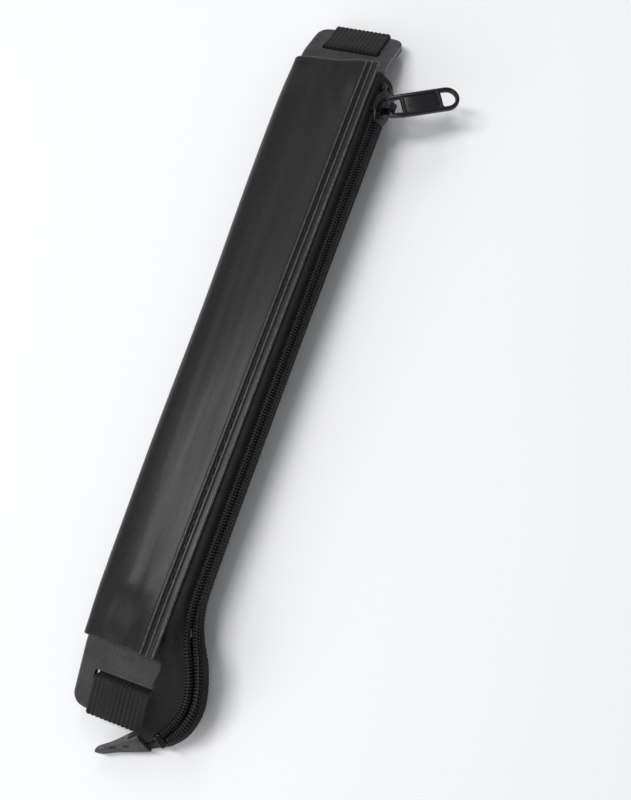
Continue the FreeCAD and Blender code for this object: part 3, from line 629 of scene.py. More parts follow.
def panel_run(y):
    """The outside of the panel's section, from its tuck under the plate to its free edge."""
    far = REAR - 0.05 - PANEL_THICK
    left = -(PLATE_HALF + 0.05 + PANEL_THICK)
    edge = panel_edge(y)
    taper = min((HALF - abs(y)) / 20.0, 1.0)
    taper = taper * taper * (3 - 2 * taper)
    crest = 5.4 + (PANEL_HEIGHT - 5.4) * taper
    points = [(left + 6, far), (left + 3.4, far), (left + 1.5, far + 0.05)]
    points += [(left + 0.35, far + 0.7), (left, FACE - 0.6)]
    for along, share in ((0.5, 0.45), (3.2, 0.76), (8.5, 0.93), (16.0, 1.0)):
        points.append((left + along, FACE + share * crest))
    points.append((edge - 6.5, FACE + (crest + 2 * PANEL_HEIGHT) / 3))
    points.append((edge, FACE + PANEL_HEIGHT - 0.9))
    return smooth_run([Vector((x, y, z)) for x, z in points])


def panel_places(length):
    """Distances across the panel, closer together by its sewn edge."""
    narrow = 7.0
    wide = length - narrow
    return [wide * n / 60 for n in range(60)] + [wide + narrow * n / 34 for n in range(35)]


def hill(place, middle, width):
    """A smooth hill, 1 high at its middle."""
    return math.exp(-((place - middle) / width) ** 2)


def groove(from_edge, y):
    """The rise of the leather beside and the dip under the edge seam."""
    puckers = 0.85 + 0.15 * math.cos(2 * math.pi * y / STITCH_PITCH)
    return (
        0.28 * hill(from_edge, 4.35, 0.5)
        - 0.42 * hill(from_edge, SEAM_FROM_EDGE, 0.42) * puckers
        + 0.28 * hill(from_edge, 2.2, 0.45)
        + 0.12 * hill(from_edge, 0.3, 0.45)
    )


# painted highlight: the ridges beside the edge seam and the free edge, as a share from 0 to 1
def seam_highlight_at(from_edge):
    return min(0.75 * hill(from_edge, 4.3, 0.26) + 0.85 * hill(from_edge, 2.3, 0.24) + 1.0 * hill(from_edge, 0.15, 0.25), 1.0)


def panel_ring(y, share):
    """One section of the panel. share thins it towards the cut ends."""
    run = panel_run(y)
    places = panel_places(run.length)
    outer = [run.at(place) for place in places]
    middle, relief = [], []
    for number, point in enumerate(outer):
        middle.append(point - outward(outer, number, ALONG) * PANEL_THICK / 2)
        from_edge = run.length - places[number]
        open_air = min(max((point.z - FACE) / 3, 0), 1)
        relief.append((groove(from_edge, y) + min(swell(point.x, y), 0.2) * open_air) * share)
    return strip_ring(middle, PANEL_THICK * share, ALONG, relief)


def panel_rows():
    inner = HALF - 0.9
    ends = [(HALF, 0.45), (HALF - 0.12, 0.75), (HALF - 0.4, 0.95)]
    rows = ends + [(y, 1.0) for y in spread(inner, -inner, 1.3)]
    return rows + [(-y, share) for y, share in ends[::-1]]


def make_panel():
    rows = panel_rows()
    rings = [panel_ring(y, share) for y, share in rows]
    mesh = loft(rings)
    pale_share = []
    for y, _ in rows:
        run = panel_run(y)
        places = panel_places(run.length)
        last = len(places) - 1
        # painted highlight along the panel's cut ends, strong at the top end and faint at the shaded bottom
        # end
        at_end = math.exp(-((HALF - abs(y)) / 0.5) ** 2) * (0.8 if y > 0 else 0.15)
        for column in range(len(rings[0])):
            place = places[min(max(column - 1, 0), last)]
            # painted highlight on the seam's ridges and the free edge; the panel's inner face takes a flat
            # 0.5
            seam = seam_highlight_at(run.length - place) if column <= last + 2 else 0.5
            pale_share.append(min(max(seam, at_end), 1.0))
    mark_wear_and_highlight(mesh, pale_share)
    finished(mesh, "leather_front_panel", PANEL_LEATHER, "leather", "case", "front_panel")


def inner_run(y, gap, first, last):
    """The panel's inner face, moved inwards by a gap, between two distances along it."""
    run = panel_run(y)
    outer = [run.at(place) for place in spread(first, run.length - last, 0.9)]
    moved = []
    for number, point in enumerate(outer):
        moved.append(point - outward(outer, number, ALONG) * (PANEL_THICK + gap))
    return moved


def make_lining():
    rings = []
    for y in spread(HALF - 5.6, 5.6 - HALF, 6):
        points = Run(inner_run(y, 0.45, 12.0, 16.0)).evenly(24)
        rings.append(strip_ring(points, 0.3, ALONG))
    finished(loft(rings), "cloth_pocket_lining", LINING_CLOTH, "lining", "case", "pocket_lining")


def make_hem(name, end):
    """The end of the panel turned under and sewn down, a soft roll of leather."""
    rings = []
    steps = [(0.15, 0.8), (0.35, 0.35), (0.8, 0.1), (1.6, 0.0), (3.2, 0.0), (4.6, 0.1), (5.0, 0.4)]
    for inwards, shrink in steps:
        y = end * (HALF - inwards)
        over = Run(inner_run(y, 0.3 + shrink * 0.7, 9.6, 17.0)).evenly(20)
        floor = [Vector((p.x, y, FACE + 0.06 + shrink * 0.5)) for p in over]
        rings.append(over + floor[::-1])
    finished(loft(rings), f"leather_{name}", PANEL_LEATHER, "leather", "case", name)


# ---------------------------------------------------------------- the back plate
def tab_turn(end):
    """The radians that a tab bends down by, its length, and its bend's radius."""
    return (math.radians(28.0), 20.0, 12.0) if end > 0 else (math.radians(15.0), 22.0, 12.0)


def on_plate(along, level, x=0.0):
    """A point of the plate: along it from its middle, and level above its rear."""
    end = 1 if along > 0 else -1
    turn, _, radius = tab_turn(end)
    far = abs(along) - HALF
    if far <= 0:
        return Vector((x, along, REAR + level))
    bent = min(far / radius, turn)
    rest = far - radius * bent
    y = HALF + (radius + level) * math.sin(bent) + rest * math.cos(bent)
    z = REAR - radius + (radius + level) * math.cos(bent) - rest * math.sin(bent)
    return Vector((x, end * y, z))


SLOT_HALF = 10.6
SLOT_WIDE = 3.4
END_BAR = 9.6


def slot_ends(end):
    tip = HALF + tab_turn(end)[1]
    return tip - END_BAR - SLOT_WIDE, tip - END_BAR


def plate_rows():
    rows = []
    for end in (-1, 1):
        near, far = slot_ends(end)
        tip = HALF + tab_turn(end)[1]
        side = spread(4.0, HALF - 1, 9) + spread(HALF, near - 0.5, 0.8) + [near, near + 0.35]
        side += spread(near + 0.6, far - 0.6, 0.7) + [far - 0.35, far] + spread(far + 0.5, tip, 0.45)
        rows += [end * place for place in side]
    return sorted(rows)


def in_slot(along, x):
    near, far = slot_ends(1 if along > 0 else -1)
    corner = 0.35
    inside = near < abs(along) < far and abs(x) < SLOT_HALF
    at_corner = min(abs(along) - near, far - abs(along)) < corner and SLOT_HALF - abs(x) < corner
    return inside and not at_corner


def make_skin(name, level):
    """One skin of the plate with its two tabs, their round corners and the band's slots."""
    rows = plate_rows()
    half = PLATE_HALF
    right = spread(0, SLOT_HALF - 0.7, 1.1) + [SLOT_HALF - 0.35, SLOT_HALF]
    right += spread(SLOT_HALF + 0.4, half, 0.6)
    columns = [-x for x in right[:0:-1]] + right
    points = []
    for along in rows:
        end = 1 if along > 0 else -1
        tip = HALF + tab_turn(end)[1]
        radius = 4.5
        near_tip = max(radius - (tip - abs(along)), 0)
        limit = half - radius + math.sqrt(max(radius ** 2 - near_tip ** 2, 0))
        for x in columns:
            inner = 10.9
            if abs(x) > inner:
                x = math.copysign(inner + (abs(x) - inner) * (limit - inner) / (half - inner), x)
            lift = 0.0
            if abs(along) > HALF + 2:
                far = (abs(along) - HALF - 2) / 18
                lift = 0.12 * math.sin(0.5 * x + end) * far
            points.append(on_plate(along, level + SKIN_THICK + min(lift, 0.0) * (level > 0.5), x))
    faces = []
    width = len(columns)
    for row in range(len(rows) - 1):
        for column in range(width - 1):
            middle = ((rows[row] + rows[row + 1]) / 2, (columns[column] + columns[column + 1]) / 2)
            if not in_slot(*middle):
                first = row * width + column
                faces.append((first, first + 1, first + width + 1, first + width))
    mesh = bpy.data.meshes.new(name)
    mesh.from_pydata([point * MM for point in points], [], faces)
    mesh.shade_smooth()
    rounding = {"width": 0.14 * MM, "segments": 2, "limit_method": "ANGLE"}
    rounding["angle_limit"] = math.radians(50)
    mesh = with_modifiers(
        mesh,
        ("SOLIDIFY", {"thickness": SKIN_THICK * MM, "offset": -1.0, "use_even_offset": True}),
        ("BEVEL", rounding),
    )
    mesh.set_sharp_from_angle(angle=math.radians(60))
    pale_share = []
    for vertex in mesh.vertices:
        point = vertex.co / MM
        side = half - abs(point.x)
        tip = min(point.y - SKIN_LOW.y, SKIN_HIGH.y - point.y)
        pale_share.append(0.55 * math.exp(-(max(min(side, tip), 0) / 0.35) ** 2))
    mark_wear_and_highlight(mesh, pale_share)
    finished(mesh, f"leather_{name}", PLATE_LEATHER, "leather", "case", name)


# ---------------------------------------------------------------- the elastic band
def turned_corners(corners, radii, steps=7):
    """A closed run through corners in the plane x = 0, each rounded to its radius."""
    points = []
    for number, corner in enumerate(corners):
        into = (corner - corners[number - 1]).normalized()
        out = (corners[(number + 1) % len(corners)] - corner).normalized()
        half = into.angle(out) / 2
        cut = radii[number] * math.tan(half)
        start, end = corner - into * cut, corner + out * cut
        centre = corner + (out - into).normalized() * radii[number] / math.cos(half)
        for step in range(steps + 1):
            reach = (start - centre).slerp(end - centre, step / steps).normalized() * radii[number]
            points.append(centre + reach)
    return points


def band_corners(end):
    half = BAND_THICK / 2 + 0.1
    turn, length, radius = tab_turn(end)
    plate = 2 * SKIN_THICK + STIFF_THICK
    slot = length - 9.5 - 3.7 / 2
    under = radius - half

    def point(along, above):
        return on_plate(end * (HALF + along), above)

    tip = point(length + half, plate + half)
    kink = Vector((0, end * (HALF + under * math.tan(turn / 2)), REAR - half))
    return [
        (kink, under),
        (point(slot, -half), 1.0),
        (point(slot, plate + half), 1.0),
        (tip, 0.7),
        (Vector((0, tip.y - end * 0.6, BAND_THICK / 2)), 1.6),
    ]


def ribbed_ring(point, out, half, thick, ribs=13):
    """A band's section: lengthwise ribs on both faces and a firm selvedge at each side."""
    over, under = [], []
    for x in spread(-half, half, half / ribs / 4):
        cord = 0.5 + 0.5 * math.cos(2 * math.pi * x / (2 * half) * ribs)
        side = min((half - abs(x)) / 0.5, 1.0)
        rise = thick / 2 * (0.45 + 0.55 * side ** 0.5) - 0.2 * (1 - cord) * min(side, 1.0)
        over.append(point + Vector((x, 0, 0)) + out * rise)
        under.append(point + Vector((x, 0, 0)) - out * rise)
    return over + under[::-1]


def make_band():
    corners = band_corners(1) + band_corners(-1)[::-1]
    path = turned_corners([c[0] for c in corners], [c[1] for c in corners])
    dense = []
    for number, point in enumerate(path):
        after = path[(number + 1) % len(path)]
        steps = max(int((after - point).length / 3), 1)
        dense += [point.lerp(after, t) for t in spread(0, 1, 1 / steps)[:-1]]
    rings = []
    for number, point in enumerate(dense):
        direction = dense[(number + 1) % len(dense)] - dense[number - 1]
        out = turned(direction, Vector((1, 0, 0)))
        rings.append(ribbed_ring(point, out, BAND_HALF, BAND_THICK))
    finished(loft(rings, loop=True), "knit_elastic_band", ELASTIC_KNIT, "elastic", "case", "elastic_band")
    low, high = corners_of("band_splice")
    rings = []
    for y in spread(low.y, high.y, 0.7):
        close = min((high.y - y) / 0.6, (y - low.y) / 0.6, 1.0)
        middle = Vector((0, y, (low.z + high.z) / 2 - (1 - close) * 0.15))
        rings.append(ribbed_ring(middle, UP, BAND_HALF - 0.05, (high.z - low.z) * (0.6 + 0.4 * close)))
    finished(loft(rings), "knit_band_splice", ELASTIC_KNIT, "elastic", "case", "band_splice")


# ---------------------------------------------------------------- the zipper's line
# How far each place on its free end lies outwards, along and above the straight part's end,
# the roll of the chain there, and how wide the tape spreads.
FREE_END = [
    (0.6, -8.0, -0.3, 50.0, 0.0),
    (2.0, -14.0, -1.0, 32.0, 0.0),
    (4.5, -20.5, -1.9, 6.0, 10.2),
    (6.9, -27.0, -2.4, 4.0, 12.6),
    (7.7, -33.5, -3.3, 4.0, 13.0),
    (5.9, -39.5, -4.8, 12.0, 12.6),
    (2.1, -44.8, -7.3, 36.0, 10.8),
    (-1.9, -48.4, -9.6, 60.0, 8.2),
    (-6.9, -51.5, -10.4, 66.0, 6.0),
]
TAB_TIP = (-18.1, -57.5, -12.1, 70.0, 6.0)
TAPE_TOP = HALF - 3.5
STRAIGHT_END = -80.0
TAPE_SEAT = -1.22
CHANNEL = 3.9
DOWN_CHAIN = Vector((0, -1, 0))


class Station:
    """A place on the chain, with the directions across it, out of its face and along it."""

    def __init__(self, middle, across, out, width=0.0):
        self.middle, self.across, self.out, self.width = middle, across, out, width
        self.along = across.cross(out).normalized()

    def at(self, across, out, ahead=0.0):
        return self.middle + self.across * across + self.out * out + self.along * ahead


def chain_at(y):
    return Vector((PLATE_HALF + CHAIN_OUT + math.tan(CHAIN_LEAN) * y, y, FACE + CHAIN_HEIGHT))


def station(middle, along, roll, width=0.0):
    flat = Vector((-along.y, along.x, 0)).normalized()
    turn = math.radians(roll)
    across = flat * math.cos(turn) - UP * math.sin(turn)
    out = flat * math.sin(turn) + UP * math.cos(turn)
    return Station(middle, across, out, width)


def main_stations():
    """The places on the chain that the CAD model's tapes and coils go through."""
    found = [station(chain_at(y), DOWN_CHAIN, CHAIN_ROLL) for y in (TAPE_TOP, HALF - 20, STRAIGHT_END)]
    start = chain_at(STRAIGHT_END)
    places = FREE_END + [TAB_TIP]
    points = [start] + [start + Vector(place[:3]) for place in places]
    for number, place in enumerate(places, start=1):
        after = points[min(number + 1, len(points) - 1)]
        along = after - points[number - 1] if place[4] else DOWN_CHAIN
        found.append(station(points[number], Vector((along.x, along.y, 0)).normalized(), place[3], place[4]))
    return found


MAIN = main_stations()
LINE = Run([place.middle for place in MAIN]).far
# The station on the free end where the coils end and the bottom stop is.
CLOSED_END = 9
COIL_START = TAPE_TOP - (SLIDER_PLACE + SLIDER_LENGTH / 2 - 3.0 - 0.5)
COIL_END = LINE[CLOSED_END]


def chain_places(start, end, step):
    """Stations at even steps along the chain, between two distances from its top."""
    wanted = spread(start, end, step)
    middles = blend_through([place.middle for place in MAIN], LINE, wanted)
    acrosses = blend_through([place.across for place in MAIN], LINE, wanted)
    outs = blend_through([place.out for place in MAIN], LINE, wanted)
    found = []
    for middle, across, out in zip(middles, acrosses, outs):
        across = across.normalized()
        found.append(Station(middle, across, (out - across * out.dot(across)).normalized()))
    return found


def front_points(place):
    """The tape under the panel's edge, from there to the chain."""
    near = [place.at(-CHANNEL, TAPE_SEAT), place.at(-2.2, TAPE_SEAT), place.at(-COIL_NEAR, TAPE_SEAT)]
    if place.width:
        return [place.at(-place.width * part, TAPE_SEAT) for part in (1, 0.82, 0.66, 0.5)] + near
    y = place.middle.y
    inner = inner_run(y, 0.35, 20.0, 0.0)
    edge, under = inner[-1], Run(inner[::-1]).at(2.6)
    brow = edge + (near[0] - edge) * 0.6 + UP * 0.3
    return [Run(inner[::-1]).at(5.0), under, edge, brow] + near


def back_points(place, lift):
    """The tape from the chain to its seam between the skins, or its free fold below."""
    near = [place.at(COIL_NEAR, TAPE_SEAT), place.at(2.2, TAPE_SEAT)]
    if place.width:
        fold, below = 3.7, TAPE_SEAT - 1.2
        return near + [
            place.at(fold, TAPE_SEAT),
            place.at(fold + 0.5, (TAPE_SEAT + below) / 2),
            place.at(fold, below),
            place.at(0, below),
            place.at(0.6 - place.width, below),
        ]
    turn = place.at(CHANNEL, TAPE_SEAT)
    level = REAR + SKIN_THICK + STIFF_THICK / 2
    side = PLATE_HALF + 0.6
    y = turn.y
    ends = (side + 0.8, side - 0.4, PLATE_HALF - 6.5)
    if lift is not None:
        level += lift
        ends = (side + 1.4, side + 0.9, side + 0.4)
    return near + [turn, Vector((turn.x + 0.3, y, turn.z - 0.9))] + [Vector((x, y, level)) for x in ends]


def rounded_top(point, distance):
    """A point of a tape, moved down where it is near the tape's top, to round its corners
    and to close the two tapes on each other above the chain."""
    place = MAIN[0]
    far = point - place.middle
    across = far.dot(place.across)
    share = max(1 - distance / 14.0, 0.0)
    drop = 3.4 * (min(max(across - 0.2, 0.0) / 4.4, 1.0) ** 2) * share
    gather = share * max(1 - abs(across) / 2.2, 0.0) * 0.42
    return point + place.along * drop - place.across * math.copysign(gather, across)


def tape_rings(key_rows, last):
    """Sections of a tape, smooth along the chain through the key rows of points."""
    wanted = spread(LINE[0], LINE[1], 1.2)[:-1] + spread(LINE[1], LINE[2], 4.0)[:-1]
    wanted += spread(LINE[2], last, 1.2)
    columns = []
    for number in range(len(key_rows[0])):
        columns.append(blend_through([row[number] for row in key_rows], LINE[:len(key_rows)], wanted))
    rings = []
    for row in range(len(wanted)):
        points = [column[row] for column in columns]
        even = [rounded_top(point, wanted[row]) for point in smooth_run(points, 5).evenly(26)]
        ahead = columns[0][min(row + 1, len(wanted) - 1)] - columns[0][max(row - 1, 0)]
        rings.append(strip_ring(even, TAPE_THICK, ahead.normalized() * -1))
    return rings


def make_tapes():
    key = MAIN[:-1]
    fronts = [front_points(place) for place in key]
    lifts = [None, None, None, 0.0] + [1.6] * len(key)
    backs = [back_points(place, lift) for place, lift in zip(key, lifts)]
    for side, key_rows in (("front", fronts), ("back", backs)):
        mesh = loft(tape_rings(key_rows, LINE[len(key) - 1]))
        finished(mesh, f"cloth_tape_{side}", TAPE_CLOTH, "tape", "case", f"zipper_tape_{side}")


# ---------------------------------------------------------------- repeated pieces
def placing_tree():
    """Sets a piece at each place, turned to the directions that the place carries."""
    tree = bpy.data.node_groups.new("pieces in rows", "GeometryNodeTree")
    sockets = (
        ("Places", "Geometry", None),
        ("Piece", "Object", None),
        ("Piece size", "Float", 1.0),
        ("Size variation", "Float", 0.04),
        ("Seed", "Int", 3),
        ("Finish", "Material", None),
    )
    for title, kind, value in sockets:
        socket = tree.interface.new_socket(title, in_out="INPUT", socket_type=f"NodeSocket{kind}")
        if value is not None:
            socket.default_value = value
    tree.interface.new_socket("Pieces", in_out="OUTPUT", socket_type="NodeSocketGeometry")
    given = tree.nodes.new("NodeGroupInput")
    made = tree.nodes.new("NodeGroupOutput")
    info = tree.nodes.new("GeometryNodeObjectInfo")
    info.inputs["As Instance"].default_value = True
    across = tree.nodes.new("GeometryNodeInputNamedAttribute")
    out = tree.nodes.new("GeometryNodeInputNamedAttribute")
    for node, title in ((across, "across"), (out, "out")):
        node.data_type = "FLOAT_VECTOR"
        node.inputs["Name"].default_value = title
    turn = tree.nodes.new("FunctionNodeAxesToRotation")
    turn.primary_axis = "Z"
    turn.secondary_axis = "X"
    vary = tree.nodes.new("FunctionNodeRandomValue")
    vary.data_type = "FLOAT"
    less = tree.nodes.new("ShaderNodeMath")
    less.operation = "SUBTRACT"
    more = tree.nodes.new("ShaderNodeMath")
    more.operation = "ADD"
    put = tree.nodes.new("GeometryNodeInstanceOnPoints")
    real = tree.nodes.new("GeometryNodeRealizeInstances")
    paint = tree.nodes.new("GeometryNodeSetMaterial")
    link = tree.links.new
    link(given.outputs["Piece"], info.inputs["Object"])
    link(given.outputs["Places"], put.inputs["Points"])
    link(info.outputs["Geometry"], put.inputs["Instance"])
    link(out.outputs["Attribute"], turn.inputs["Primary Axis"])
    link(across.outputs["Attribute"], turn.inputs["Secondary Axis"])
    link(turn.outputs["Rotation"], put.inputs["Rotation"])
    for node in (less, more):
        link(given.outputs["Piece size"], node.inputs[0])
        link(given.outputs["Size variation"], node.inputs[1])
    link(less.outputs[0], vary.inputs[2])
    link(more.outputs[0], vary.inputs[3])
    link(given.outputs["Seed"], vary.inputs["Seed"])
    link(vary.outputs[1], put.inputs["Scale"])
    link(put.outputs["Instances"], real.inputs["Geometry"])
    link(real.outputs["Geometry"], paint.inputs["Geometry"])
    link(given.outputs["Finish"], paint.inputs["Material"])
    link(paint.outputs["Geometry"], made.inputs["Pieces"])
    return tree


PLACING = placing_tree()


def rows_of(pattern, places, material, variation=0.03):
    """A plain mesh of a pattern repeated at places: (middle, across, out)."""
    points = bpy.data.meshes.new("places")
    points.from_pydata([place[0] * MM for place in places], [], [])
    for title, number in (("across", 1), ("out", 2)):
        attribute = points.attributes.new(title, "FLOAT_VECTOR", "POINT")
        for row, place in enumerate(places):
            attribute.data[row].vector = place[number]
    model = bpy.data.objects.new("pattern", pattern)
    bpy.context.scene.collection.objects.link(model)
    piece = bpy.data.objects.new("rows", points)
    bpy.context.scene.collection.objects.link(piece)
    modifier = piece.modifiers.new("rows", "NODES")
    modifier.node_group = PLACING
    values = {"Piece": model, "Size variation": variation, "Finish": material}
    for socket in PLACING.interface.items_tree:
        if socket.name in values:
            modifier[socket.identifier] = values[socket.name]
    mesh = evaluated(piece)
    bpy.data.objects.remove(model)
    return mesh


def tube_rings(points, radius, sides):
    """Rings round a closed run of points."""
    rings = []
    for number, point in enumerate(points):
        direction = (points[(number + 1) % len(points)] - points[number - 1]).normalized()
        side = direction.cross(ALONG)
        side = side.normalized() if side.length > 1e-3 else Vector((1, 0, 0))
        other = direction.cross(side).normalized()
        ring = []
        for turn in turns(sides):
            ring.append(point + side * math.cos(turn) * radius + other * math.sin(turn) * radius)
        rings.append(ring)
    return rings


TOOTH_PITCH = 0.98


def tooth():
    """One turn of the coil: a closed, flattened loop round its cord, a little skewed."""
    path = []
    for turn in turns(12):
        x = (COIL_NEAR + COIL_FAR) / 2 - 0.08 + 0.98 * squared_off(math.cos(turn), 0.7)
        z = 0.58 * squared_off(math.sin(turn), 0.7)
        path.append(Vector((x, 0.24 * math.sin(turn), z)))
    mesh = loft(tube_rings(path, 0.22, 5), loop=True, sharp=math.pi)
    # painted highlight on the coil's heads along the middle of the chain, fading towards its cord
    mark_wear_and_highlight(mesh, [0.75 * max(1 - (vertex.co.x / MM - 0.25) / 0.8, 0.0) for vertex in mesh.vertices])
    return mesh


def make_coils():
    pattern = tooth()
    for side, name in ((-1, "front"), (1, "back")):
        start = COIL_START + (0.0 if side > 0 else TOOTH_PITCH / 2)
        places = []
        for place in chain_places(start, COIL_END - 0.4, TOOTH_PITCH):
            places.append((place.middle, place.across * side, place.out))
        mesh = rows_of(pattern.copy(), places, COIL_NYLON, 0.015)
        finished(mesh, f"nylon_coil_{name}", COIL_NYLON, "coil", "case", f"coil_{name}")
        middle = side * (COIL_NEAR + COIL_FAR) / 2
        rings = []
        for place in chain_places(COIL_START, COIL_END, 2.0):
            rings.append([
                place.at(middle + 0.28 * math.cos(turn), 0.24 * math.sin(turn))
                for turn in spread(0, 1.75 * math.pi, math.pi / 4)
            ])
        finished(loft(rings), f"cord_coil_{name}", SEAM_THREAD, "thread", "case", f"coil_cord_{name}")


def rod(path, radius, end_radius, sides, sharp):
    """A round rod through points along Y, smaller at its two ends."""
    rings = []
    for number, point in enumerate(path):
        size = radius if 0 < number < len(path) - 1 else end_radius
        ring = [point + Vector((size * math.cos(turn), 0, size * math.sin(turn))) for turn in turns(sides)]
        rings.append(ring)
    return loft(rings, sharp=sharp)


def capsule(length, radius, arch=0.0):
    """A short thread: rounded ends, a slight arch, lying along Y."""
    path = []
    for t in [step / 6 for step in range(7)]:
        path.append(Vector((0, (t - 0.5) * length, arch * (1 - (2 * t - 1) ** 2))))
    return rod(path, radius, radius * 0.5, 6, math.pi)


def stitch_line(start, end, out, count):
    """Places for stitches in a straight row."""
    along = (end - start).normalized()
    places = []
    for n in range(count):
        middle = start.lerp(end, (n + 0.5) / count)
        places.append((middle, along.cross(out).normalized(), out))
    return places


def sew(stitch, places, name, *nodes):
    """Stitches set at their places, as one piece of thread."""
    mesh = rows_of(stitch, places, SEAM_THREAD)
    finished(mesh, f"thread_{name}", SEAM_THREAD, "thread", "case", *nodes)


def on_run(run, distance, reach):
    """A point of a run and the direction out of it there."""
    return run.at(distance), turned(run.at(distance + reach) - run.at(distance - reach), ALONG)


def make_edge_seam(stitch):
    """The seam along the panel's free edge, sunk in its groove."""
    places = []
    for n in range(int((2 * HALF - 10) / STITCH_PITCH)):
        y = HALF - 5 - STITCH_PITCH * (n + 0.5)
        run, next_run = panel_run(y), panel_run(y + 1)
        point, out = on_run(run, run.length - SEAM_FROM_EDGE, 0.3)
        along = (next_run.at(next_run.length - SEAM_FROM_EDGE) - point).normalized()
        places.append((point + out * -0.22, along.cross(out).normalized(), out))
    sew(stitch, places, "edge_seam", "edge_stitches")


def make_straight_seams(stitch):
    """The seams of the panel's tuck and of the back tape, behind the plate."""
    top = 97.0
    rows = (
        ("tuck", -(PLATE_HALF + 1.05) + 3.9, REAR - 0.05 - PANEL_THICK, -97.0),
        ("tape", PLATE_HALF - SEAM_FROM_EDGE, REAR, -79.0),
    )
    for name, x, level, bottom in rows:
        count = int((top - bottom) / STITCH_PITCH)
        start, end = Vector((x, top, level - 0.1)), Vector((x, bottom, level - 0.1))
        sew(stitch.copy(), stitch_line(start, end, -UP, count), f"{name}_seam", f"{name}_stitches")


def make_hem_seams():
    """Four small stitches through each hem."""
    for end, name in ((1, "top"), (-1, "bottom")):
        run = panel_run(end * (HALF - 2.5))
        places = []
        for n in range(4):
            point, out = on_run(run, 13.5 + 2.9 * n, 0.5)
            places.append((point - out * 0.05, ALONG, out))
        sew(capsule(2.3, 0.13), places, f"{name}_hem_seam", f"{name}_hem_stitches")


def make_splice_seam():
    """Two rows of stitches across the elastic's overlap."""
    low, high = corners_of("splice_stitches")
    places = []
    for y in (low.y + 0.25, high.y - 0.25):
        start, end = Vector((-8.5, y, low.z + 0.2)), Vector((8.5, y, low.z + 0.2))
        places += stitch_line(start, end, UP, 5)
    sew(capsule(2.3, 0.2, 0.05), places, "splice_seam", "splice_stitches")


def make_seams():
    long_stitch = capsule(2.4, 0.22, 0.1)
    make_edge_seam(long_stitch.copy())
    make_straight_seams(long_stitch)
    make_hem_seams()
    make_splice_seam()


# ---------------------------------------------------------------- stops and end tab
def soft_block(place, lengths, half_across, half_out, beside=0.0):
    """A block with generous rounding, set in a station's directions."""
    power = 4.0
    low, high = lengths
    rings = []
    for t in (0.0, 0.08, 0.25, 0.5, 0.75, 0.92, 1.0):
        grow = (1 - abs(2 * t - 1) ** power) ** (1 / power) * 0.55 + 0.45
        ring = []
        for turn in turns(20):
            a = squared_off(math.cos(turn), 2 / power) * half_across * grow
            b = squared_off(math.sin(turn), 2 / power) * half_out * grow
            ring.append(place.at(beside + a, b, low + (high - low) * t))
        rings.append(ring)
    return loft(rings, sharp=math.radians(70))


def make_stops():
    top = station(chain_at(SLIDER_PLACE + SLIDER_LENGTH / 2 + 0.3), DOWN_CHAIN, CHAIN_ROLL)
    width = (COIL_FAR - COIL_NEAR) / 2
    for side, name in ((-1, "front"), (1, "back")):
        mesh = soft_block(top, (-2.4, 0), width, COIL_HALF, side * (COIL_NEAR + width))
        finished(mesh, f"metal_top_stop_{name}", ENAMEL, "stop_metal", "case", f"top_stop_{name}")
    mesh = soft_block(MAIN[CLOSED_END], (0.3, 2.7), COIL_FAR, COIL_HALF)
    finished(mesh, "metal_bottom_stop", ENAMEL, "stop_metal", "case", "bottom_stop")


def tab_thickness(share):
    """Half the end tab's thickness, at a share of the way to its tip."""
    return 1.95 - min(share * 1.6, 1.0)


def make_end_tab():
    """The leather tab folded over both tapes' ends and sewn through, thinning to its tip."""
    places = chain_places(LINE[-2] - 3.6, LINE[-1] + 1.6, 0.8)
    last = len(places) - 1
    level = TAPE_SEAT - 0.6
    rings, pale_share = [], []
    for number, place in enumerate(places):
        t = number / last
        tip = min((1 - t) / 0.14, 1.0) ** 0.5
        left, right = 6.4 - 4.9 * t, 4.5 - 3.1 * t
        centre, half = (right - left) / 2, (right + left) / 2 * (0.25 + 0.75 * tip)
        thick = tab_thickness(t) * (0.4 + 0.6 * tip) * (1 + 0.05 * math.sin(9 * t))
        ring = []
        for turn in turns(36):
            a = squared_off(math.cos(turn), 0.45) * half
            b = squared_off(math.sin(turn), 0.5) * thick
            point = place.at(centre + a, level + b)
            ring.append(Vector((point.x, point.y, max(point.z, 0.25 + 0.1 * b))))
            pale_share.append(0.3 * abs(math.cos(turn)) ** 8 if t < 0.9 else 0.0)
        rings.append(ring)
    mesh = loft(rings, sharp=math.radians(75))
    mark_wear_and_highlight(mesh, pale_share)
    finished(mesh, "leather_end_tab", TAB_LEATHER, "leather", "case", "end_tab")
    stitches = []
    for share in (0.34, 0.62):
        place = places[int(share * last)]
        stitches.append((place.at(-2.2, level + tab_thickness(share)), place.across, place.out))
    sew(capsule(2.2, 0.34, 0.12), stitches, "end_tab")


# ---------------------------------------------------------------- slider and pull
def slider_station():
    lean = Vector((-math.sin(CHAIN_LEAN), -math.cos(CHAIN_LEAN), 0))
    return station(chain_at(SLIDER_PLACE), lean, CHAIN_ROLL)


def set_in(place, out):
    """The matrix that sets a flat plate in a station, this far out of it."""
    return matrix_of((place.across, -place.along, place.out), place.at(0, out) * MM)


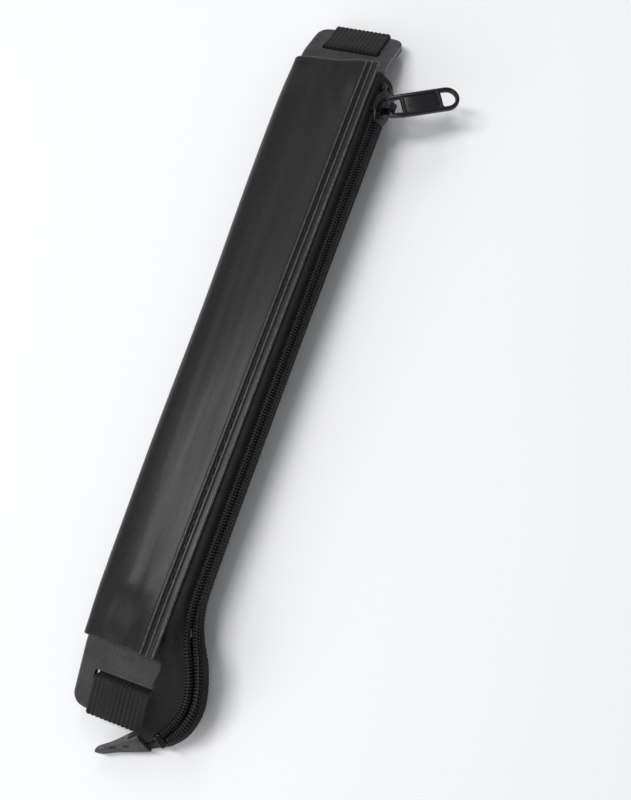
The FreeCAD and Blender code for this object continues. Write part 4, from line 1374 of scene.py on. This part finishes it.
def make_slider_body(place):
    """Two shield-shaped plates, the rails and divider between them, and the loop's foot."""
    half, nose = SLIDER_WIDTH / 2, SLIDER_LENGTH / 2
    over, under, wall = 1.2, -1.6, 0.9
    edge = [(half * 0.62, -nose), (half, -nose + 3.6), (half, nose - 2.2), (half * 0.72, nose)]
    shield = rounded_outline(edge + [(-x, y) for x, y in edge[::-1]], 0.9)
    solids = []
    for level in (over + wall / 2, under - wall / 2):
        solids.append(plate_from([shield], wall, 0.28, set_in(place, level)))
    for side in (1, -1):
        rail = rounded_outline([
            (side * (half - 0.62), -nose + 3.2), (side * half, -nose + 3.6),
            (side * half, nose - 2.4), (side * (half - 0.62), nose - 1.4),
        ][::side], 0.18)
        solids.append(plate_from([rail], 2.1, 0.14, set_in(place, 0.45)))
    post = rounded_outline(four_corners(-0.2, 0.2, nose - 3.0, nose), 0.12)
    solids.append(plate_from([post], over - under + 0.6, 0.05, set_in(place, (over + under) / 2)))
    foot = rounded_outline(four_corners(-1.7, 1.7, -3.4, 3.4), 0.8)
    solids.append(plate_from([foot], 0.5, 0.16, set_in(place, over + wall + 0.12)))
    mesh = joined(*solids)
    mark_wear_and_highlight(mesh, [0.1] * len(mesh.vertices))
    finished(mesh, "metal_slider_body", ENAMEL, "slider_metal", "slider", "slider_body")


def make_slider_loop(place):
    """The arched loop on the slider, which the pull's bar runs through."""
    low, high, wide = 2.2, 6.9, 2.3
    half_length, half_wire = 1.2, 0.45
    knee = (low + high - wide) / 2
    path = [(wide, low, 1.0, 0.0), (wide, knee, 1.0, 0.0)]
    for turn in spread(0, math.pi, math.pi / 16):
        aside, up = math.cos(turn), math.sin(turn)
        path.append((wide * aside, high - wide + wide * up, aside, up))
    path += [(-wide, knee, -1.0, 0.0), (-wide, low, -1.0, 0.0)]
    wire = rounded_outline(four_corners(-half_length, half_length, -half_wire, half_wire), 0.22, 3)
    rings = []
    for across, out, aside, up in path:
        ring = []
        for a, b in wire:
            inset = b - half_wire
            ring.append(place.at(across + aside * inset, out + up * inset, a))
        rings.append(ring)
    mesh = loft(rings, sharp=math.radians(60))
    mark_wear_and_highlight(mesh, [0.15] * len(mesh.vertices))
    finished(mesh, "metal_slider_bail", ENAMEL, "slider_metal", "slider", "slider_bail")


def make_pull():
    """The pull: a rimmed tapering plate with a bar at its base and an eye at its tip."""
    swing = [joint for joint in frame["joints"] if joint["name"] == "pull_swing"][0]
    bar = -Vector(swing["axis"])
    drop = math.radians(15.0)
    flat = Vector((bar.y, -bar.x, 0)).normalized()
    reach = flat * math.cos(drop) - UP * math.sin(drop)
    matrix = matrix_of((reach, bar, reach.cross(bar)), Vector(swing["pos_m"]))
    length, bar_radius = 24.5, 0.65
    half, rail, rim, eye = 4.3, 1.5, 1.35, 1.6
    hole, tip = 4.2, length - bar_radius - half
    inside, near = half - rim, tip - eye
    outline = [(0.0, -half + 0.6), (hole, -half)] + arc((tip, 0), half, -90, 90, 22)
    outline += [(hole, half), (0.0, half - 0.6)]
    base = rounded_outline([
        (0.45, -(half - rail * 1.25)), (hole, -(half - rail)),
        (hole, half - rail), (0.45, half - rail * 1.25),
    ], 0.5)
    loop = [(near, inside - 0.4), (near, 0.4 - inside), (near + 0.4, -inside)]
    loop += arc((tip, 0), inside, -90, 90, 16) + [(near + 0.4, inside)]
    window = rounded_outline(four_corners(hole + rim, near - rim, -inside, inside), 0.6)
    rimmed = plate_from([outline, base, loop, window], 1.5, 0.34, matrix)
    inner = four_corners(hole + rim - 0.5, near - rim + 0.5, -inside - 0.5, inside + 0.5)
    core = plate_from([rounded_outline(inner, 0.5)], 0.8, 0.1, matrix)
    path = [Vector((0, y, 0)) for y in spread(-(half - 0.6), half - 0.6, 0.6)]
    bar_rod = rod(path, bar_radius, 0.4, 16, math.radians(60))
    bar_rod.transform(matrix)
    mesh = joined(rimmed, core, bar_rod)
    mark_wear_and_highlight(mesh, [0.12] * len(mesh.vertices))
    finished(mesh, "metal_pull_tab", ENAMEL, "pull_metal", "pull", "pull_tab")


# ---------------------------------------------------------------- build
make_skin("rear_skin", 0.0)
make_skin("front_skin", SKIN_THICK + STIFF_THICK)
frame["nodes"]["plate_stiffener"].data.materials.clear()
frame["nodes"]["plate_stiffener"].data.materials.append(CARD)
make_panel()
make_lining()
make_hem("top_hem", 1)
make_hem("bottom_hem", -1)
make_band()
make_tapes()
make_coils()
make_stops()
make_end_tab()
make_slider_body(slider_station())
make_slider_loop(slider_station())
make_pull()
make_seams()


# ---------------------------------------------------------------- camera, light and floor
def look(name, place, target, size, power):
    light = bpy.data.lights.new(name, "AREA")
    light.shape = "RECTANGLE"
    light.size, light.size_y = size
    light.energy = power
    lamp = bpy.data.objects.new(name, light)
    lamp.location = place
    lamp.rotation_euler = (Vector(target) - Vector(place)).to_track_quat("-Z", "Y").to_euler()
    bpy.context.scene.collection.objects.link(lamp)


def make_camera():
    """The camera, above the object and aimed at the floor under it."""
    camera = bpy.data.cameras.new("camera")
    camera.lens = 49.5
    camera.clip_start = 0.01
    eye = bpy.data.objects.new("camera", camera)
    place, target = Vector((135.54, -78.82, 338.91)), Vector((25.94, -9.41, 0.0))
    roll = math.radians(-40.59)
    aim = (target - place).to_track_quat("-Z", "Y").to_matrix() @ Matrix.Rotation(roll, 3, "Z")
    eye.matrix_world = Matrix.Translation(place * MM) @ aim.to_4x4()
    bpy.context.scene.collection.objects.link(eye)
    bpy.context.scene.camera = eye


def make_floor():
    mesh = bpy.data.meshes.new("floor")
    reach = 3.0
    corners = [(x, y, 0) for x, y in four_corners(-reach, reach, -reach, reach)]
    mesh.from_pydata(corners, [], [(0, 1, 2, 3)])
    floor = bpy.data.objects.new("floor", mesh)
    bpy.context.scene.collection.objects.link(floor)
    finish = Finish("pale floor", Roughness=0.75, Specular_IOR_Level=0.2)
    cloud = add(finish.tree, "TexNoise", [("Vector", finish.place), ("Scale", 3.0)])
    finish.set(Base_Color=finish.mix(cloud.outputs["Fac"], (0.88, 0.88, 0.885), (0.92, 0.92, 0.915)))
    mesh.materials.append(finish.material)


make_camera()
make_floor()
look("window light", (-0.24, 0.0, 0.92), (0, 0, 0.01), (0.16, 0.6), 5.0)
look("strip light", (-0.15, 0.75, 0.75), (0.01, 0, 0.02), (0.12, 0.6), 1.4)
look("fill light", (-0.45, -0.85, 0.5), (0, 0, 0.01), (0.8, 0.5), 3.4)
world = bpy.data.worlds.new("pale room")
world.use_nodes = True
world.node_tree.nodes["Background"].inputs["Color"].default_value = (0.9, 0.92, 0.95, 1)
world.node_tree.nodes["Background"].inputs["Strength"].default_value = 0.4
bpy.context.scene.world = world
bpy.context.scene.view_settings.view_transform = "Standard"
